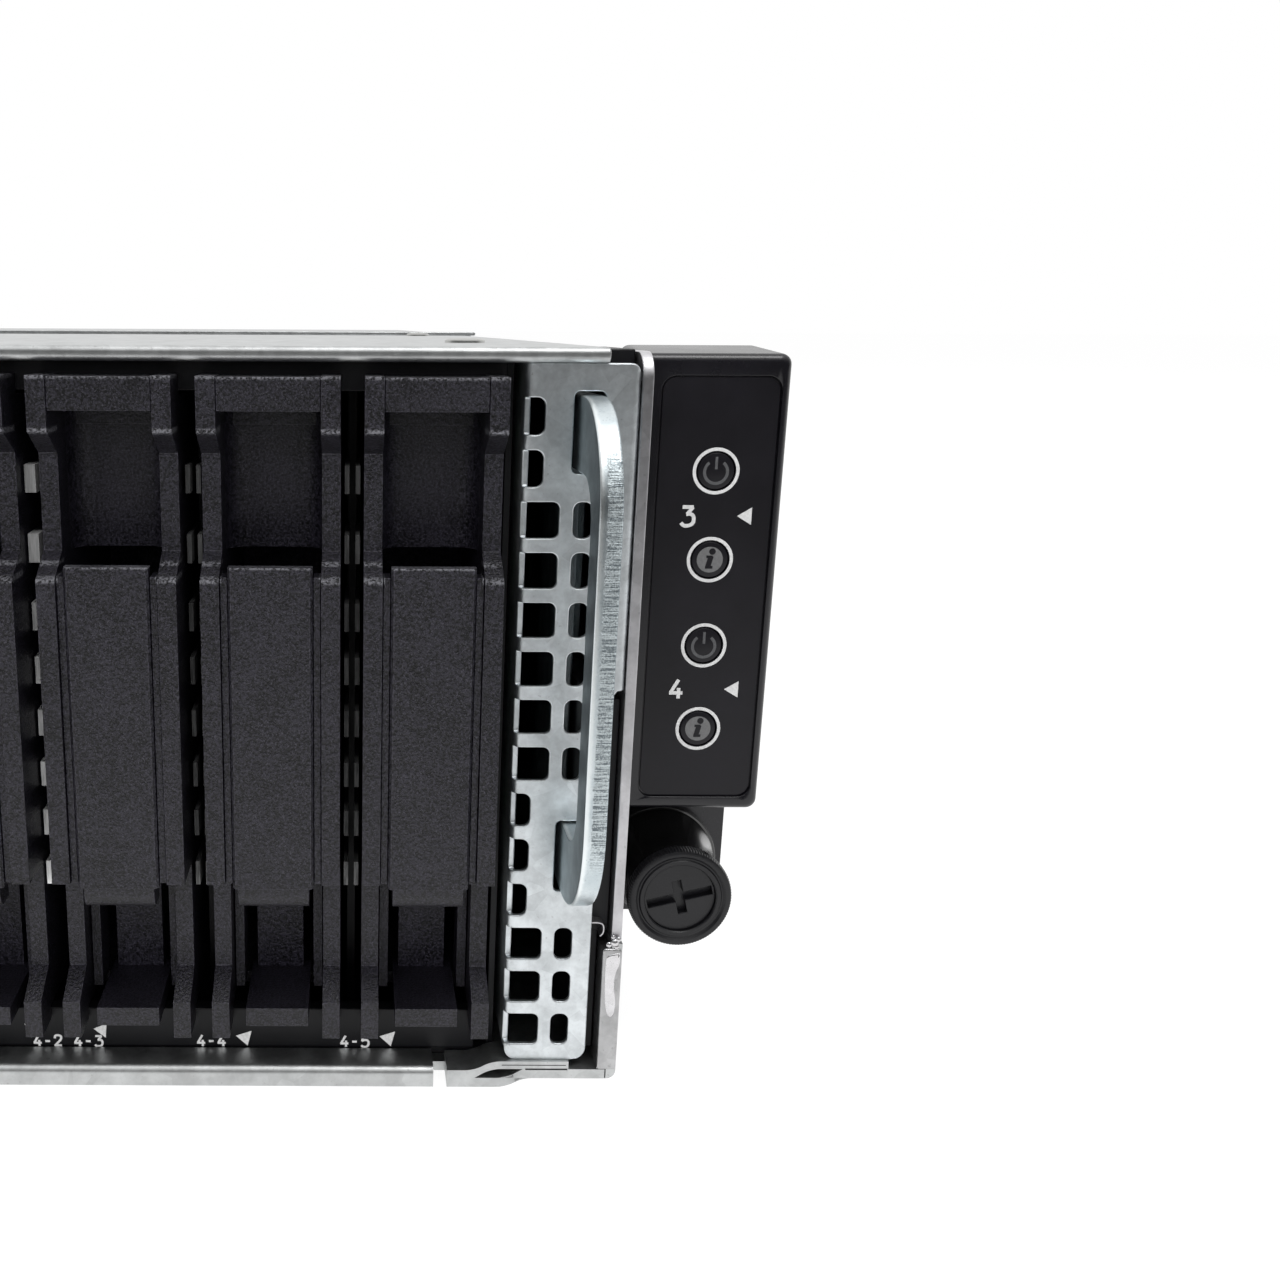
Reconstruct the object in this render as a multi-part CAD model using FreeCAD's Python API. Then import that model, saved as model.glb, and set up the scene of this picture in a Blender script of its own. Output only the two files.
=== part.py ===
import FreeCAD, Part
import os
from math import cos, sin, pi

# Two-unit rack enclosure that holds four server sleds, two power supplies and a row of small drive bays.
# X runs to the right seen from the front, Y runs to the rear, Z is up, in millimetres.
# Inside this file Y = 0 is the front edge of the tray; the finished pieces are shifted to the part's origin.
V = FreeCAD.Vector

# Sheet metal and running clearances
SHEET = 1.2
COVER_SHEET = 0.8
CAGE_SHEET = 0.8
GRILLE_SHEET = 0.9
SLIDE_GAP = 0.6
STACK_GAP = 0.4
BLANK_GAP = 0.4
SEAT_GAP = 0.3

# Flats that stand for a circle where a small round form repeats
ROUND_FACETS = 18

# Drive bays and the blanks that fill them
BAY_COUNT = 24
BAY_PITCH = 17.5
BAY_OPENING = 73.7
BAY_DEPTH = 105.3
SILL_HEIGHT = 5.5
HEAD_HEIGHT = 3.2
SILL_DEPTH = 2.0
SILL_SETBACK = 4.7
SILL_END = 1.6
DIVIDER = 1.7
BLANK_WIDTH = 15.0
BLANK_WALL = 1.9
BLANK_SKIN = 1.5
BLANK_LENGTH = 93.0
BLANK_NOSE = 1.8
BLANK_HEAD_LAP = 1.8
BLANK_FOOT_LAP = 1.2
BLANK_FLOOR_END = 26.0
BLANK_BAR = 3.6
BLANK_SHOULDER = 5.8
BLANK_SLOPE = 2.5
BLANK_RECESS = 4.4
BLANK_WAIST = 10.6
BLANK_POCKET = 8.6
BLANK_LATCH_TOP = 20.0
BLANK_LATCH_WIDTH = 9.0
BLANK_LATCH_TIP = 17.2
BLANK_LOWER_STEP = 20.3
BLANK_LOWER_RECESS = 6.3
BLANK_RAMP_TOP = 7.1
BLANK_RAMP_FOOT = 4.6
BLANK_FOOT_BACK = 1.8
BLANK_TONGUE_WIDTH = 5.7
BLANK_TONGUE_BACK = 12.3
BLANK_BLOCK_WIDTH = 7.3
BLANK_BLOCK_TOP = 3.9

# Tray and covers
BODY_DEPTH = 763.0
FLOOR_STEP_WIDTH = 11.0
FLOOR_STEP_RAMP = 2.0
LEDGE_WIDTH = 9.0
HEM_DEPTH = 4.4
HEM_INSET = 21.6
HEM_ROUND = 0.9
HEM_NOTCH = 1.6
HEM_NOTCH_DEPTH = 3.5
DOUBLER_SHEET = 1.0
DOUBLER_FOOT = 3.3
DOUBLER_RAMP = 1.9
DOUBLER_END = 5.6
COVER_INSET = 4.7
COVER_HEM_DEPTH = 5.0
COVER_HEM_ROUND = 0.7
FRONT_COVER_LENGTH = 197.0
COVER_LAP = 12.0
COVER_SEAM = 0.4
REAR_COVER_INSET = 2.2

# Grille beside the bays, and its pull handle
GRILLE_CLEAR = 0.65
GRILLE_WIDTH = 12.2
GRILLE_SETBACK = 0.5
GRILLE_HEADROOM = 0.8
GRILLE_LEFT_FLANGE = 14.0
GRILLE_RIGHT_FLANGE = 21.0
GRILLE_ROW_PITCH = 5.5
GRILLE_FIRST_ROW = 3.55
GRILLE_HOLE = 3.9
GRILLE_WIDE = 4.05
GRILLE_NARROW = 2.0
GRILLE_SECOND = 5.55
GRILLE_SECOND_WIDTH = 2.05
GRILLE_EDGE_NOTCH = 2.0
GRILLE_RELIEF = 2.3
GRILLE_RELIEF_TOP = 48.6
HANDLE_PLATE = 2.4
HANDLE_OFFSET = 5.75
HANDLE_REACH = 13.0
HANDLE_LENGTH = 55.7
HANDLE_BOTTOM = 25.4
HANDLE_BAR = 4.6
HANDLE_LEG = 8.0
HANDLE_ROUND = 11.5
HANDLE_INNER_ROUND = 5.0
HANDLE_TAIL = 11.0
HANDLE_TAIL_LENGTH = 14.0
HANDLE_FOOT_MARGIN = 6.0
SLOT_CLEAR = 0.3

# Ears with their control panels and captive screws
EAR_REACH = 17.3
EAR_SHEET = 2.0
EAR_SETBACK = 21.8
EAR_BOTTOM = 12.6
LEG_SETBACK = 0.6
LEG_BOTTOM = 18.7
LEG_ROUND = 3.0
LEG_LAP = 42.0
LEG_JOGGLE = 2.0
LEG_REST = 2.2
HOUSING_DEPTH = 12.6
HOUSING_HEIGHT = 53.9
HOUSING_DROP = 0.4
HOUSING_GAP = 0.4
HOUSING_WALL = 1.4
HOUSING_FRONT = 1.8
HOUSING_BEVEL = 0.8
OVERLAY_RECESS = 0.4
OVERLAY_LEFT = 2.5
OVERLAY_RIGHT = 1.1
OVERLAY_TOP = 2.8
OVERLAY_BOTTOM = 1.7
OVERLAY_CLIP = 0.8
BUTTON_COUNT = 4
BUTTON_PITCH = 10.15
BUTTON_FIRST = 10.5
BUTTON_RADIUS = 2.1
BUTTON_CLEAR = 0.3
BUTTON_STEM = 1.2
BUTTON_TRAVEL = 0.8
PANEL_BOARD = 1.6
PANEL_SWITCH = 1.4
PANEL_SWITCH_SIDE = 4.6
PANEL_POST = 3.0
SCREW_OFFSET = 8.55
SCREW_HEIGHT = 20.6
SCREW_RADIUS = 2.5
SCREW_HOLE_CLEAR = 0.4
SCREW_TAIL = 12.0
SCREW_NECK = 1.9
KNOB_RADIUS = 6.3
KNOB_FRONT = 8.0
KNOB_SLOT_LENGTH = 8.0
KNOB_SLOT = 1.3
KNOB_SLOT_DEPTH = 2.4
KNOB_CROSS = 4.6
COLLAR_RADIUS = 7.4
COLLAR_THICK = 2.0

# Backplane, fans and midplane
BOARD = 2.4
BOARD_MARGIN = 3.0
CONNECTOR_WIDTH = 6.0
CONNECTOR_HEIGHT = 34.0
CONNECTOR_DEPTH = 7.0
BACKPLANE_SLOT = 84.0
BACKPLANE_SLOT_HEIGHT = 14.0
FAN_COUNT = 4
FAN_SETBACK = 132.0
FAN_DEPTH = 38.0
FAN_HEADROOM = 3.2
FAN_SPACING = 100.0
FAN_TIP_CLEAR = 2.6
FAN_RIM = 1.6
FAN_HUB = 19.0
FAN_HUB_DEPTH = 26.0
FAN_HUB_DISH = 13.0
FAN_DISH_DEPTH = 0.8
FAN_STRUT = 4.0
FAN_STRUT_DEPTH = 3.0
FAN_BLADES = 5
FAN_BLADE_THICK = 1.6
FAN_BLADE_CHORD = 24.0
FAN_BLADE_PITCH = 42.0
FAN_TRAY_LIP = 6.0
MIDPLANE_SETBACK = 190.0
MIDPLANE_WINDOW = 44.0
MIDPLANE_BAR = 8.0
MIDPLANE_PLUG_WIDTH = 30.0
MIDPLANE_PLUG_HEIGHT = 12.0
MIDPLANE_PLUG_DEPTH = 10.2
POWER_BOARD_START = 262.0
POWER_BOARD_GAP = 31.0
POWER_BOARD_POST = 3.0
POWER_BUS_HEIGHT = 22.0
POWER_BUS_WIDTH = 9.0

# Sleds and power supplies
SLED_PULL = 14.0
SLED_SHEET = 1.0
SLED_WALL = 24.0
SLED_BOARD = 1.6
SLED_POST = 3.0
SLED_POST_SIDE = 8.0
SLED_BOARD_MARGIN = 5.0
SLED_BOARD_TAIL = 90.0
SLED_BOARD_START = 40.0
SINK_WIDTH = 78.0
SINK_LENGTH = 90.0
SINK_HEIGHT = 26.0
SINK_BASE = 4.0
SINK_FINS = 5
SINK_FIN = 1.6
SINK_FIRST = 80.0
SINK_SECOND = 250.0
MEMORY_HEIGHT = 29.0
MEMORY_LENGTH = 130.0
MEMORY_STICKS = 3
MEMORY_STICK = 2.4
MEMORY_PITCH = 11.0
MEMORY_BASE = 4.0
MEMORY_INSET = 4.0
SLED_PORT_HEIGHT = 14.0
SLED_PORT_DEPTH = 16.0
SLED_CARD_WIDTH = 78.0
SLED_CARD_HEIGHT = 18.0
SLED_CARD_SLOT = 12.0
SLED_PULL_WIDTH = 34.0
SLED_PULL_HEIGHT = 12.0
SLED_PULL_BAR = 3.0
SLED_TAB_WIDTH = 12.0
SLED_TAB_HEIGHT = 10.0
SLED_TAB_REACH = 9.0
PSU_WIDTH = 86.0
PSU_SIDE_GAP = 3.0
PSU_LENGTH = 240.0
PSU_INLET_WIDTH = 30.0
PSU_INLET_HEIGHT = 24.0
PSU_INLET_DEPTH = 16.0
PSU_INLET_WALL = 2.4
PSU_INLET_EDGE = 8.0
PSU_FAN = 16.5
PSU_FAN_EDGE = 21.0
PSU_FAN_DEPTH = 14.0
PSU_FAN_HUB = 7.0
PSU_FAN_RIB = 2.0
PSU_PULL_REACH = 13.0
PSU_PULL_BAR = 3.0
PSU_PULL_WIDTH = 8.0
PSU_PULL_EDGE = 3.0
PSU_TAB_WIDTH = 10.0
PSU_TAB_HEIGHT = 6.0
PSU_TAB_REACH = 8.0
PSU_GUIDE = 2.4
PSU_GUIDE_HEIGHT = 12.0

# Levels and widths that follow from the sizes above
FLOOR_TOP = SHEET
CAGE_FLOOR = FLOOR_TOP + CAGE_SHEET
SILL_TOP = CAGE_FLOOR + SILL_HEIGHT
HEAD_BOTTOM = SILL_TOP + BAY_OPENING
CAGE_CEILING = HEAD_BOTTOM + HEAD_HEIGHT
COVER_UNDER = CAGE_CEILING + CAGE_SHEET
COVER_TOP = COVER_UNDER + COVER_SHEET
BAY_EDGE = (BAY_COUNT - 1) / 2 * BAY_PITCH
CAGE_INNER = BAY_EDGE + BLANK_WIDTH / 2 + BLANK_GAP
CAGE_OUTER = CAGE_INNER + CAGE_SHEET
GRILLE_LEFT = CAGE_OUTER + GRILLE_CLEAR
WALL_IN = GRILLE_LEFT + GRILLE_WIDTH
WALL_OUT = WALL_IN + SHEET
STEP_FLOOR = FLOOR_TOP + SHEET
DOUBLER_TOP = STEP_FLOOR + DOUBLER_SHEET
GRILLE_TOP = COVER_UNDER - GRILLE_HEADROOM
CAGE_BACK = SILL_SETBACK + SILL_DEPTH + BAY_DEPTH
HANDLE_LEFT = GRILLE_LEFT + HANDLE_OFFSET
HANDLE_TOP = HANDLE_BOTTOM + HANDLE_LENGTH
EAR_EDGE = WALL_OUT + EAR_REACH
EAR_TOP = COVER_TOP - HOUSING_DROP
HOUSING_LEFT = WALL_OUT + HOUSING_GAP
HOUSING_FACE = EAR_SETBACK - HOUSING_DEPTH
HOUSING_BOTTOM = EAR_TOP - HOUSING_HEIGHT
OVERLAY_FACE = HOUSING_FACE + OVERLAY_RECESS
BUTTON_X = (HOUSING_LEFT + OVERLAY_LEFT + EAR_EDGE - OVERLAY_RIGHT) / 2
PANEL_BACK = HOUSING_FACE + HOUSING_FRONT
BUTTON_END = PANEL_BACK + BUTTON_STEM
SWITCH_FACE = BUTTON_END + BUTTON_TRAVEL + SEAT_GAP
SCREW_X = WALL_OUT + SCREW_OFFSET
KNOB_BACK = EAR_SETBACK - COLLAR_THICK - STACK_GAP
CHANNEL = PSU_WIDTH / 2 + PSU_SIDE_GAP
SLED_LEFT = CHANNEL + SHEET + SLIDE_GAP
SLED_WIDTH = WALL_IN - SLIDE_GAP - SLED_LEFT
LEDGE_UNDER = COVER_UNDER - SHEET
LEDGE_START = GRILLE_SETBACK + GRILLE_RIGHT_FLANGE + STACK_GAP
SLED_HEIGHT = (LEDGE_UNDER - STEP_FLOOR - SHEET) / 2 - 2 * STACK_GAP
SHELF_UNDER = STEP_FLOOR + SLED_HEIGHT + 2 * STACK_GAP
SLED_FRONT = MIDPLANE_SETBACK + BOARD + MIDPLANE_PLUG_DEPTH + STACK_GAP
SLED_BODY = BODY_DEPTH - SLED_FRONT
FAN_SIDE = COVER_UNDER - CAGE_FLOOR - FAN_HEADROOM
FAN_Z = CAGE_FLOOR + FAN_SIDE / 2
FAN_BORE = FAN_SIDE / 2 - FAN_RIM
FAN_TIP = FAN_BORE - FAN_TIP_CLEAR
Y_SHIFT = -(BODY_DEPTH + SLED_PULL - HANDLE_REACH) / 2


def box(x0, x1, y0, y1, z0, z1):
    """Block between two corners."""
    return Part.makeBox(x1 - x0, y1 - y0, z1 - z0, V(x0, y0, z0))


def face(points):
    """Flat face inside a closed line of points."""
    return Part.Face(Part.makePolygon(points + [points[0]]))


def prism_x(profile, x0, x1):
    """Side profile of (y, z) points carried from x0 to x1."""
    return face([V(x0, y, z) for y, z in profile]).extrude(V(x1 - x0, 0, 0))


def prism_y(profile, y0, y1):
    """Front profile of (x, z) points carried from y0 to y1."""
    return face([V(x, y0, z) for x, z in profile]).extrude(V(0, y1 - y0, 0))


def prism_z(profile, z0, z1):
    """Plan profile of (x, y) points carried from z0 to z1."""
    return face([V(x, y, z0) for x, y in profile]).extrude(V(0, 0, z1 - z0))


def rod(x, z, radius, y0, y1):
    """Round bar along Y."""
    return Part.makeCylinder(radius, y1 - y0, V(x, y0, z), V(0, 1, 0))


def faceted(x, z, radius, y0, y1, sides):
    """Bar along Y with flat sides, the flats at the given radius."""
    corner = radius / cos(pi / sides)
    turns = [(2 * i + 1) * pi / sides for i in range(sides)]
    return prism_y([(x + corner * sin(t), z + corner * cos(t)) for t in turns], y0, y1)


def join(shapes):
    """One solid from pieces that are welded or moulded together."""
    return shapes[0].multiFuse(shapes[1:]).removeSplitter()


def mirrored(shape):
    """The left-hand twin of a right-hand piece."""
    return shape.mirror(V(0, 0, 0), V(1, 0, 0))


def rounded(shape, radius, wanted):
    """Fillet the edges whose two ends satisfy a test on the end points."""
    edges = [e for e in shape.Edges if len(e.Vertexes) == 2
             and wanted(e.Vertexes[0].Point, e.Vertexes[1].Point)]
    return shape.makeFillet(radius, edges)


def clipped_hole(x0, x1, y0, y1, z0, z1, clip):
    """Cutter for a square hole with its corners clipped, driven along Y."""
    return prism_y([
        (x0 + clip, z0),
        (x1 - clip, z0),
        (x1, z0 + clip),
        (x1, z1 - clip),
        (x1 - clip, z1),
        (x0 + clip, z1),
        (x0, z1 - clip),
        (x0, z0 + clip),
    ], y0, y1)


def chassis_tray():
    """Folded tray: one section for floor, stepped edges, walls and cover ledges, carried to the rear."""
    step = WALL_OUT - FLOOR_STEP_WIDTH
    ledge = WALL_IN - LEDGE_WIDTH
    half = [
        (step - FLOOR_STEP_RAMP, 0),
        (step, FLOOR_TOP),
        (WALL_OUT, FLOOR_TOP),
        (WALL_OUT, COVER_UNDER),
        (ledge, COVER_UNDER),
        (ledge, LEDGE_UNDER),
        (WALL_IN, LEDGE_UNDER),
        (WALL_IN, STEP_FLOOR),
        (step, STEP_FLOOR),
        (step - FLOOR_STEP_RAMP, FLOOR_TOP),
    ]
    section = half + [(-x, z) for x, z in reversed(half)]
    tray = prism_y(section, 0, BODY_DEPTH)
    hem_end = WALL_OUT - HEM_INSET
    hem = box(-hem_end, hem_end, 0, HEM_DEPTH, FLOOR_TOP, STEP_FLOOR)
    foot = hem_end + HEM_NOTCH
    ramp = foot + DOUBLER_FOOT
    flat = ramp + DOUBLER_RAMP
    end = WALL_OUT - DOUBLER_END
    doubler = prism_y([
        (foot, FLOOR_TOP),
        (ramp, FLOOR_TOP),
        (flat, STEP_FLOOR),
        (end, STEP_FLOOR),
        (end, DOUBLER_TOP),
        (flat, DOUBLER_TOP),
        (ramp, FLOOR_TOP + DOUBLER_SHEET),
        (foot, FLOOR_TOP + DOUBLER_SHEET),
    ], 0, HEM_DEPTH)
    tray = join([tray, hem, doubler, mirrored(doubler)])
    notch = box(hem_end, foot, -1, HEM_NOTCH_DEPTH, -1, STEP_FLOOR + 1)
    window = box(WALL_IN - 0.5, WALL_OUT + 1, -1, EAR_SETBACK + EAR_SHEET + LEG_REST + LEG_JOGGLE,
                 LEG_BOTTOM, COVER_TOP)
    brow = box(ledge - 1, WALL_OUT + 1, -1, LEDGE_START, LEDGE_UNDER - 1, COVER_TOP)
    for cutter in (notch, window, brow):
        tray = tray.cut(cutter).cut(mirrored(cutter))
    return rounded(tray, HEM_ROUND, lambda a, b: max(abs(a.y), abs(b.y)) < 1e-6
                   and abs(a.x + b.x) < 1e-3 and abs(a.x) > 1 and min(a.z, b.z) > FLOOR_TOP)


def front_cover():
    """Flat lid over the bays and fans, with its front edge folded under."""
    edge = WALL_OUT - COVER_INSET
    lid = box(-edge, edge, 0, FRONT_COVER_LENGTH, COVER_UNDER, COVER_TOP)
    hem = box(-edge, edge, 0, COVER_HEM_DEPTH, COVER_UNDER - COVER_SHEET, COVER_UNDER)
    return rounded(join([lid, hem]), COVER_HEM_ROUND, lambda a, b: max(abs(a.y), abs(b.y)) < 1e-6
                   and abs(a.x - b.x) > 1)


def rear_cover():
    """Flat lid over the sleds; its front edge steps up and laps over the front lid."""
    edge = WALL_OUT - REAR_COVER_INSET
    seam = FRONT_COVER_LENGTH + COVER_SEAM
    return prism_x([
        (FRONT_COVER_LENGTH - COVER_LAP, COVER_TOP),
        (FRONT_COVER_LENGTH - COVER_LAP, COVER_TOP + COVER_SHEET),
        (seam + COVER_SHEET, COVER_TOP + COVER_SHEET),
        (seam + 2 * COVER_SHEET, COVER_TOP),
        (BODY_DEPTH, COVER_TOP),
        (BODY_DEPTH, COVER_UNDER),
        (seam, COVER_UNDER),
        (seam, COVER_TOP),
    ], -edge, edge)


def sled_cage():
    """Two upright walls beside the power supplies, with the shelves that part upper from lower bays."""
    walls = [box(s * CHANNEL - (SHEET if s < 0 else 0), s * CHANNEL + (SHEET if s > 0 else 0),
                 SLED_FRONT, BODY_DEPTH, FLOOR_TOP, COVER_UNDER) for s in (-1, 1)]
    shelf = box(CHANNEL + SHEET, WALL_IN, SLED_FRONT, BODY_DEPTH, SHELF_UNDER, SHELF_UNDER + SHEET)
    middle = box(-CHANNEL, CHANNEL, BODY_DEPTH - PSU_LENGTH, BODY_DEPTH, SHELF_UNDER, SHELF_UNDER + SHEET)
    guides = []
    for level in (FLOOR_TOP, SHELF_UNDER + SHEET):
        guide = box(PSU_WIDTH / 2 + STACK_GAP, PSU_WIDTH / 2 + STACK_GAP + PSU_GUIDE,
                    BODY_DEPTH - PSU_LENGTH, BODY_DEPTH, level, level + PSU_GUIDE_HEIGHT)
        wide = box(PSU_WIDTH / 2 + STACK_GAP, CHANNEL, BODY_DEPTH - PSU_LENGTH, BODY_DEPTH, level,
                   level + SHEET)
        guides += [guide, wide, mirrored(guide), mirrored(wide)]
    return join(walls + [shelf, mirrored(shelf), middle] + guides)


def drive_cage():
    """Sleeve round all bays, with the label sill below and the head rail above."""
    start = COVER_HEM_DEPTH + STACK_GAP
    sleeve = box(-CAGE_OUTER, CAGE_OUTER, start, CAGE_BACK, FLOOR_TOP, COVER_UNDER)
    sleeve = sleeve.cut(box(-CAGE_INNER, CAGE_INNER, start - 1, CAGE_BACK + 1, CAGE_FLOOR, CAGE_CEILING))
    end = CAGE_INNER - SILL_END
    back = SILL_SETBACK + SILL_DEPTH
    sill = box(-end, end, SILL_SETBACK, back, STEP_FLOOR, SILL_TOP)
    heel = box(-end, end, start, back, CAGE_FLOOR, STEP_FLOOR)
    head = box(-CAGE_INNER, CAGE_INNER, SILL_SETBACK, back, HEAD_BOTTOM, CAGE_CEILING)
    return join([sleeve, sill, heel, head])


def divider(index):
    """Upright strip between two bays."""
    x = (index - BAY_COUNT / 2) * BAY_PITCH
    front = SILL_SETBACK + SILL_DEPTH
    return box(x - DIVIDER / 2, x + DIVIDER / 2, front, CAGE_BACK, CAGE_FLOOR, CAGE_CEILING)


def drive_blank():
    """One-piece moulded filler for a bay: walls, finger pocket, latch panel, flexing tongue and foot."""
    top = HEAD_BOTTOM + BLANK_HEAD_LAP
    foot = SILL_TOP - BLANK_FOOT_LAP
    face_y = -BLANK_NOSE
    flange = SILL_SETBACK - SEAT_GAP
    low = SILL_TOP + BLANK_GAP
    high = HEAD_BOTTOM - BLANK_GAP
    recess = face_y + BLANK_RECESS
    lower = face_y + BLANK_LOWER_RECESS
    shoulder = top - BLANK_SHOULDER
    waist_top = shoulder - BLANK_SLOPE
    waist = waist_top - BLANK_WAIST
    profile = [
        (face_y, top),
        (face_y, shoulder),
        (recess, waist_top),
        (recess, waist),
        (face_y, waist - BLANK_SLOPE),
        (face_y, foot + BLANK_LOWER_STEP),
        (lower, foot + BLANK_LOWER_STEP),
        (lower, foot + BLANK_RAMP_TOP),
        (face_y + BLANK_FOOT_BACK, foot + BLANK_RAMP_FOOT),
        (face_y + BLANK_FOOT_BACK, foot),
        (flange, foot),
        (flange, low),
        (BLANK_LENGTH, low),
        (BLANK_LENGTH, high),
        (flange, high),
        (flange, top),
    ]
    half = BLANK_WIDTH / 2
    inner = half - BLANK_WALL
    wall = prism_x(profile, inner, half)
    pocket = face_y + BLANK_RECESS + BLANK_POCKET - BLANK_SKIN
    latch_top = top - BLANK_LATCH_TOP
    tongue = face_y + BLANK_TONGUE_BACK
    block_top = foot + BLANK_BLOCK_TOP
    latch = BLANK_LATCH_WIDTH / 2
    thin = BLANK_TONGUE_WIDTH / 2
    block = BLANK_BLOCK_WIDTH / 2
    pieces = [
        wall,
        mirrored(wall),
        box(-inner, inner, face_y, flange, top - BLANK_BAR, top),
        box(-inner, inner, flange, pocket, top - BLANK_BAR, high),
        box(-inner, inner, pocket, pocket + BLANK_SKIN, latch_top + BLANK_GAP, high),
        box(-latch, latch, face_y, face_y + BLANK_SKIN, foot + BLANK_LATCH_TIP, latch_top),
        box(-thin, thin, face_y, tongue, foot + BLANK_LATCH_TIP, foot + BLANK_LATCH_TIP + BLANK_SKIN),
        box(-thin, thin, tongue, tongue + BLANK_SKIN, low, foot + BLANK_LATCH_TIP + BLANK_SKIN),
        box(-block, block, face_y + BLANK_FOOT_BACK, tongue + BLANK_SKIN, low, block_top),
        box(-inner, inner, tongue, BLANK_FLOOR_END, low, low + BLANK_SKIN),
    ]
    return join(pieces)


def drive_backplane():
    """Upright board behind the bays with a plug for each bay and air slots between the plugs."""
    board = box(-CAGE_OUTER, CAGE_OUTER, CAGE_BACK, CAGE_BACK + BOARD, FLOOR_TOP,
                COVER_UNDER - BOARD_MARGIN)
    middle = (CAGE_FLOOR + CAGE_CEILING) / 2
    plugs = []
    slots = []
    for index in range(BAY_COUNT):
        x = (index - (BAY_COUNT - 1) / 2) * BAY_PITCH
        plugs.append(box(x - CONNECTOR_WIDTH / 2, x + CONNECTOR_WIDTH / 2, CAGE_BACK - CONNECTOR_DEPTH,
                         CAGE_BACK, middle - CONNECTOR_HEIGHT / 2, middle + CONNECTOR_HEIGHT / 2))
        for s in (-1, 1) if index % 6 == 2 else ():
            z = middle + s * (CONNECTOR_HEIGHT / 2 + BACKPLANE_SLOT_HEIGHT / 2 + BOARD_MARGIN)
            slots.append(box(x - BACKPLANE_SLOT / 2, x + BACKPLANE_SLOT / 2, CAGE_BACK - 1,
                             CAGE_BACK + BOARD + 1,
                             z - BACKPLANE_SLOT_HEIGHT / 2, z + BACKPLANE_SLOT_HEIGHT / 2))
    return [board.cut(Part.makeCompound(slots))] + plugs


def handle_legs():
    """Heights of the two handle legs, lower then upper."""
    return [(HANDLE_BOTTOM, HANDLE_BOTTOM + HANDLE_LEG), (HANDLE_TOP - HANDLE_LEG, HANDLE_TOP)]


def right_grille():
    """Folded intake panel: square holes cut across the left fold, and slots for the handle's legs."""
    back = GRILLE_SETBACK + GRILLE_SHEET
    left = GRILLE_LEFT
    right = WALL_IN
    panel = prism_z([
        (left, GRILLE_SETBACK),
        (right, GRILLE_SETBACK),
        (right, GRILLE_SETBACK + GRILLE_RIGHT_FLANGE),
        (right - GRILLE_SHEET, GRILLE_SETBACK + GRILLE_RIGHT_FLANGE),
        (right - GRILLE_SHEET, back),
        (left + GRILLE_SHEET, back),
        (left + GRILLE_SHEET, GRILLE_SETBACK + GRILLE_LEFT_FLANGE),
        (left, GRILLE_SETBACK + GRILLE_LEFT_FLANGE),
    ], DOUBLER_TOP, GRILLE_TOP)
    relief = prism_y([
        (right - GRILLE_RELIEF, DOUBLER_TOP - 1),
        (right + 1, DOUBLER_TOP - 1),
        (right + 1, GRILLE_RELIEF_TOP + GRILLE_RELIEF / 2),
        (right - GRILLE_RELIEF / 2, GRILLE_RELIEF_TOP + GRILLE_RELIEF / 2),
        (right - GRILLE_RELIEF, GRILLE_RELIEF_TOP - GRILLE_RELIEF / 2),
    ], GRILLE_SETBACK - 1, GRILLE_SETBACK + GRILLE_RIGHT_FLANGE + 1)
    panel = panel.cut(relief)
    cutters = []
    slots = [(low - SLOT_CLEAR, high + SLOT_CLEAR) for low, high in handle_legs()]
    for low, high in slots:
        cutters.append(box(HANDLE_LEFT - 2 * SLOT_CLEAR, HANDLE_LEFT + HANDLE_PLATE + SLOT_CLEAR,
                           GRILLE_SETBACK - 1, back + 1, low, high))
    rows = int((GRILLE_TOP - DOUBLER_TOP - GRILLE_FIRST_ROW) / GRILLE_ROW_PITCH)
    for row in range(rows):
        top = GRILLE_TOP - GRILLE_FIRST_ROW - row * GRILLE_ROW_PITCH
        low = top - GRILLE_HOLE
        beside_slot = any(low < b and top > a for a, b in slots)
        width = GRILLE_NARROW if beside_slot else GRILLE_WIDE
        cutters.append(box(left - 2, left + width, GRILLE_SETBACK - 1,
                           GRILLE_SETBACK + GRILLE_EDGE_NOTCH, low, top))
        if not beside_slot:
            second = left + GRILLE_SECOND
            cutters.append(box(second, second + GRILLE_SECOND_WIDTH, GRILLE_SETBACK - 1, back + 1, low,
                               top))
    return panel.cut(Part.makeCompound(cutters))


def right_handle():
    """Pull handle stamped from plate: a D that stands through the grille, with a folded foot behind it."""
    front = -HANDLE_REACH
    tail = GRILLE_SETBACK + HANDLE_TAIL
    end = tail + HANDLE_TAIL_LENGTH
    plate = box(HANDLE_LEFT, HANDLE_LEFT + HANDLE_PLATE, front, end, HANDLE_BOTTOM, HANDLE_TOP)
    plate = rounded(plate, HANDLE_ROUND, lambda a, b: abs(a.x - b.x) > 1 and max(a.y, b.y) < front + 1e-6)
    gap = box(HANDLE_LEFT - 1, HANDLE_LEFT + HANDLE_PLATE + 1, front + HANDLE_BAR, tail,
              HANDLE_BOTTOM + HANDLE_LEG, HANDLE_TOP - HANDLE_LEG)
    gap = rounded(gap, HANDLE_INNER_ROUND, lambda a, b: abs(a.x - b.x) > 1
                  and max(a.y, b.y) < front + HANDLE_BAR + 1e-6)
    foot = box(HANDLE_LEFT, WALL_IN - SHEET, end - HANDLE_PLATE, end, HANDLE_BOTTOM + HANDLE_FOOT_MARGIN,
               HANDLE_TOP - HANDLE_FOOT_MARGIN)
    return join([plate.cut(gap), foot])


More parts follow.
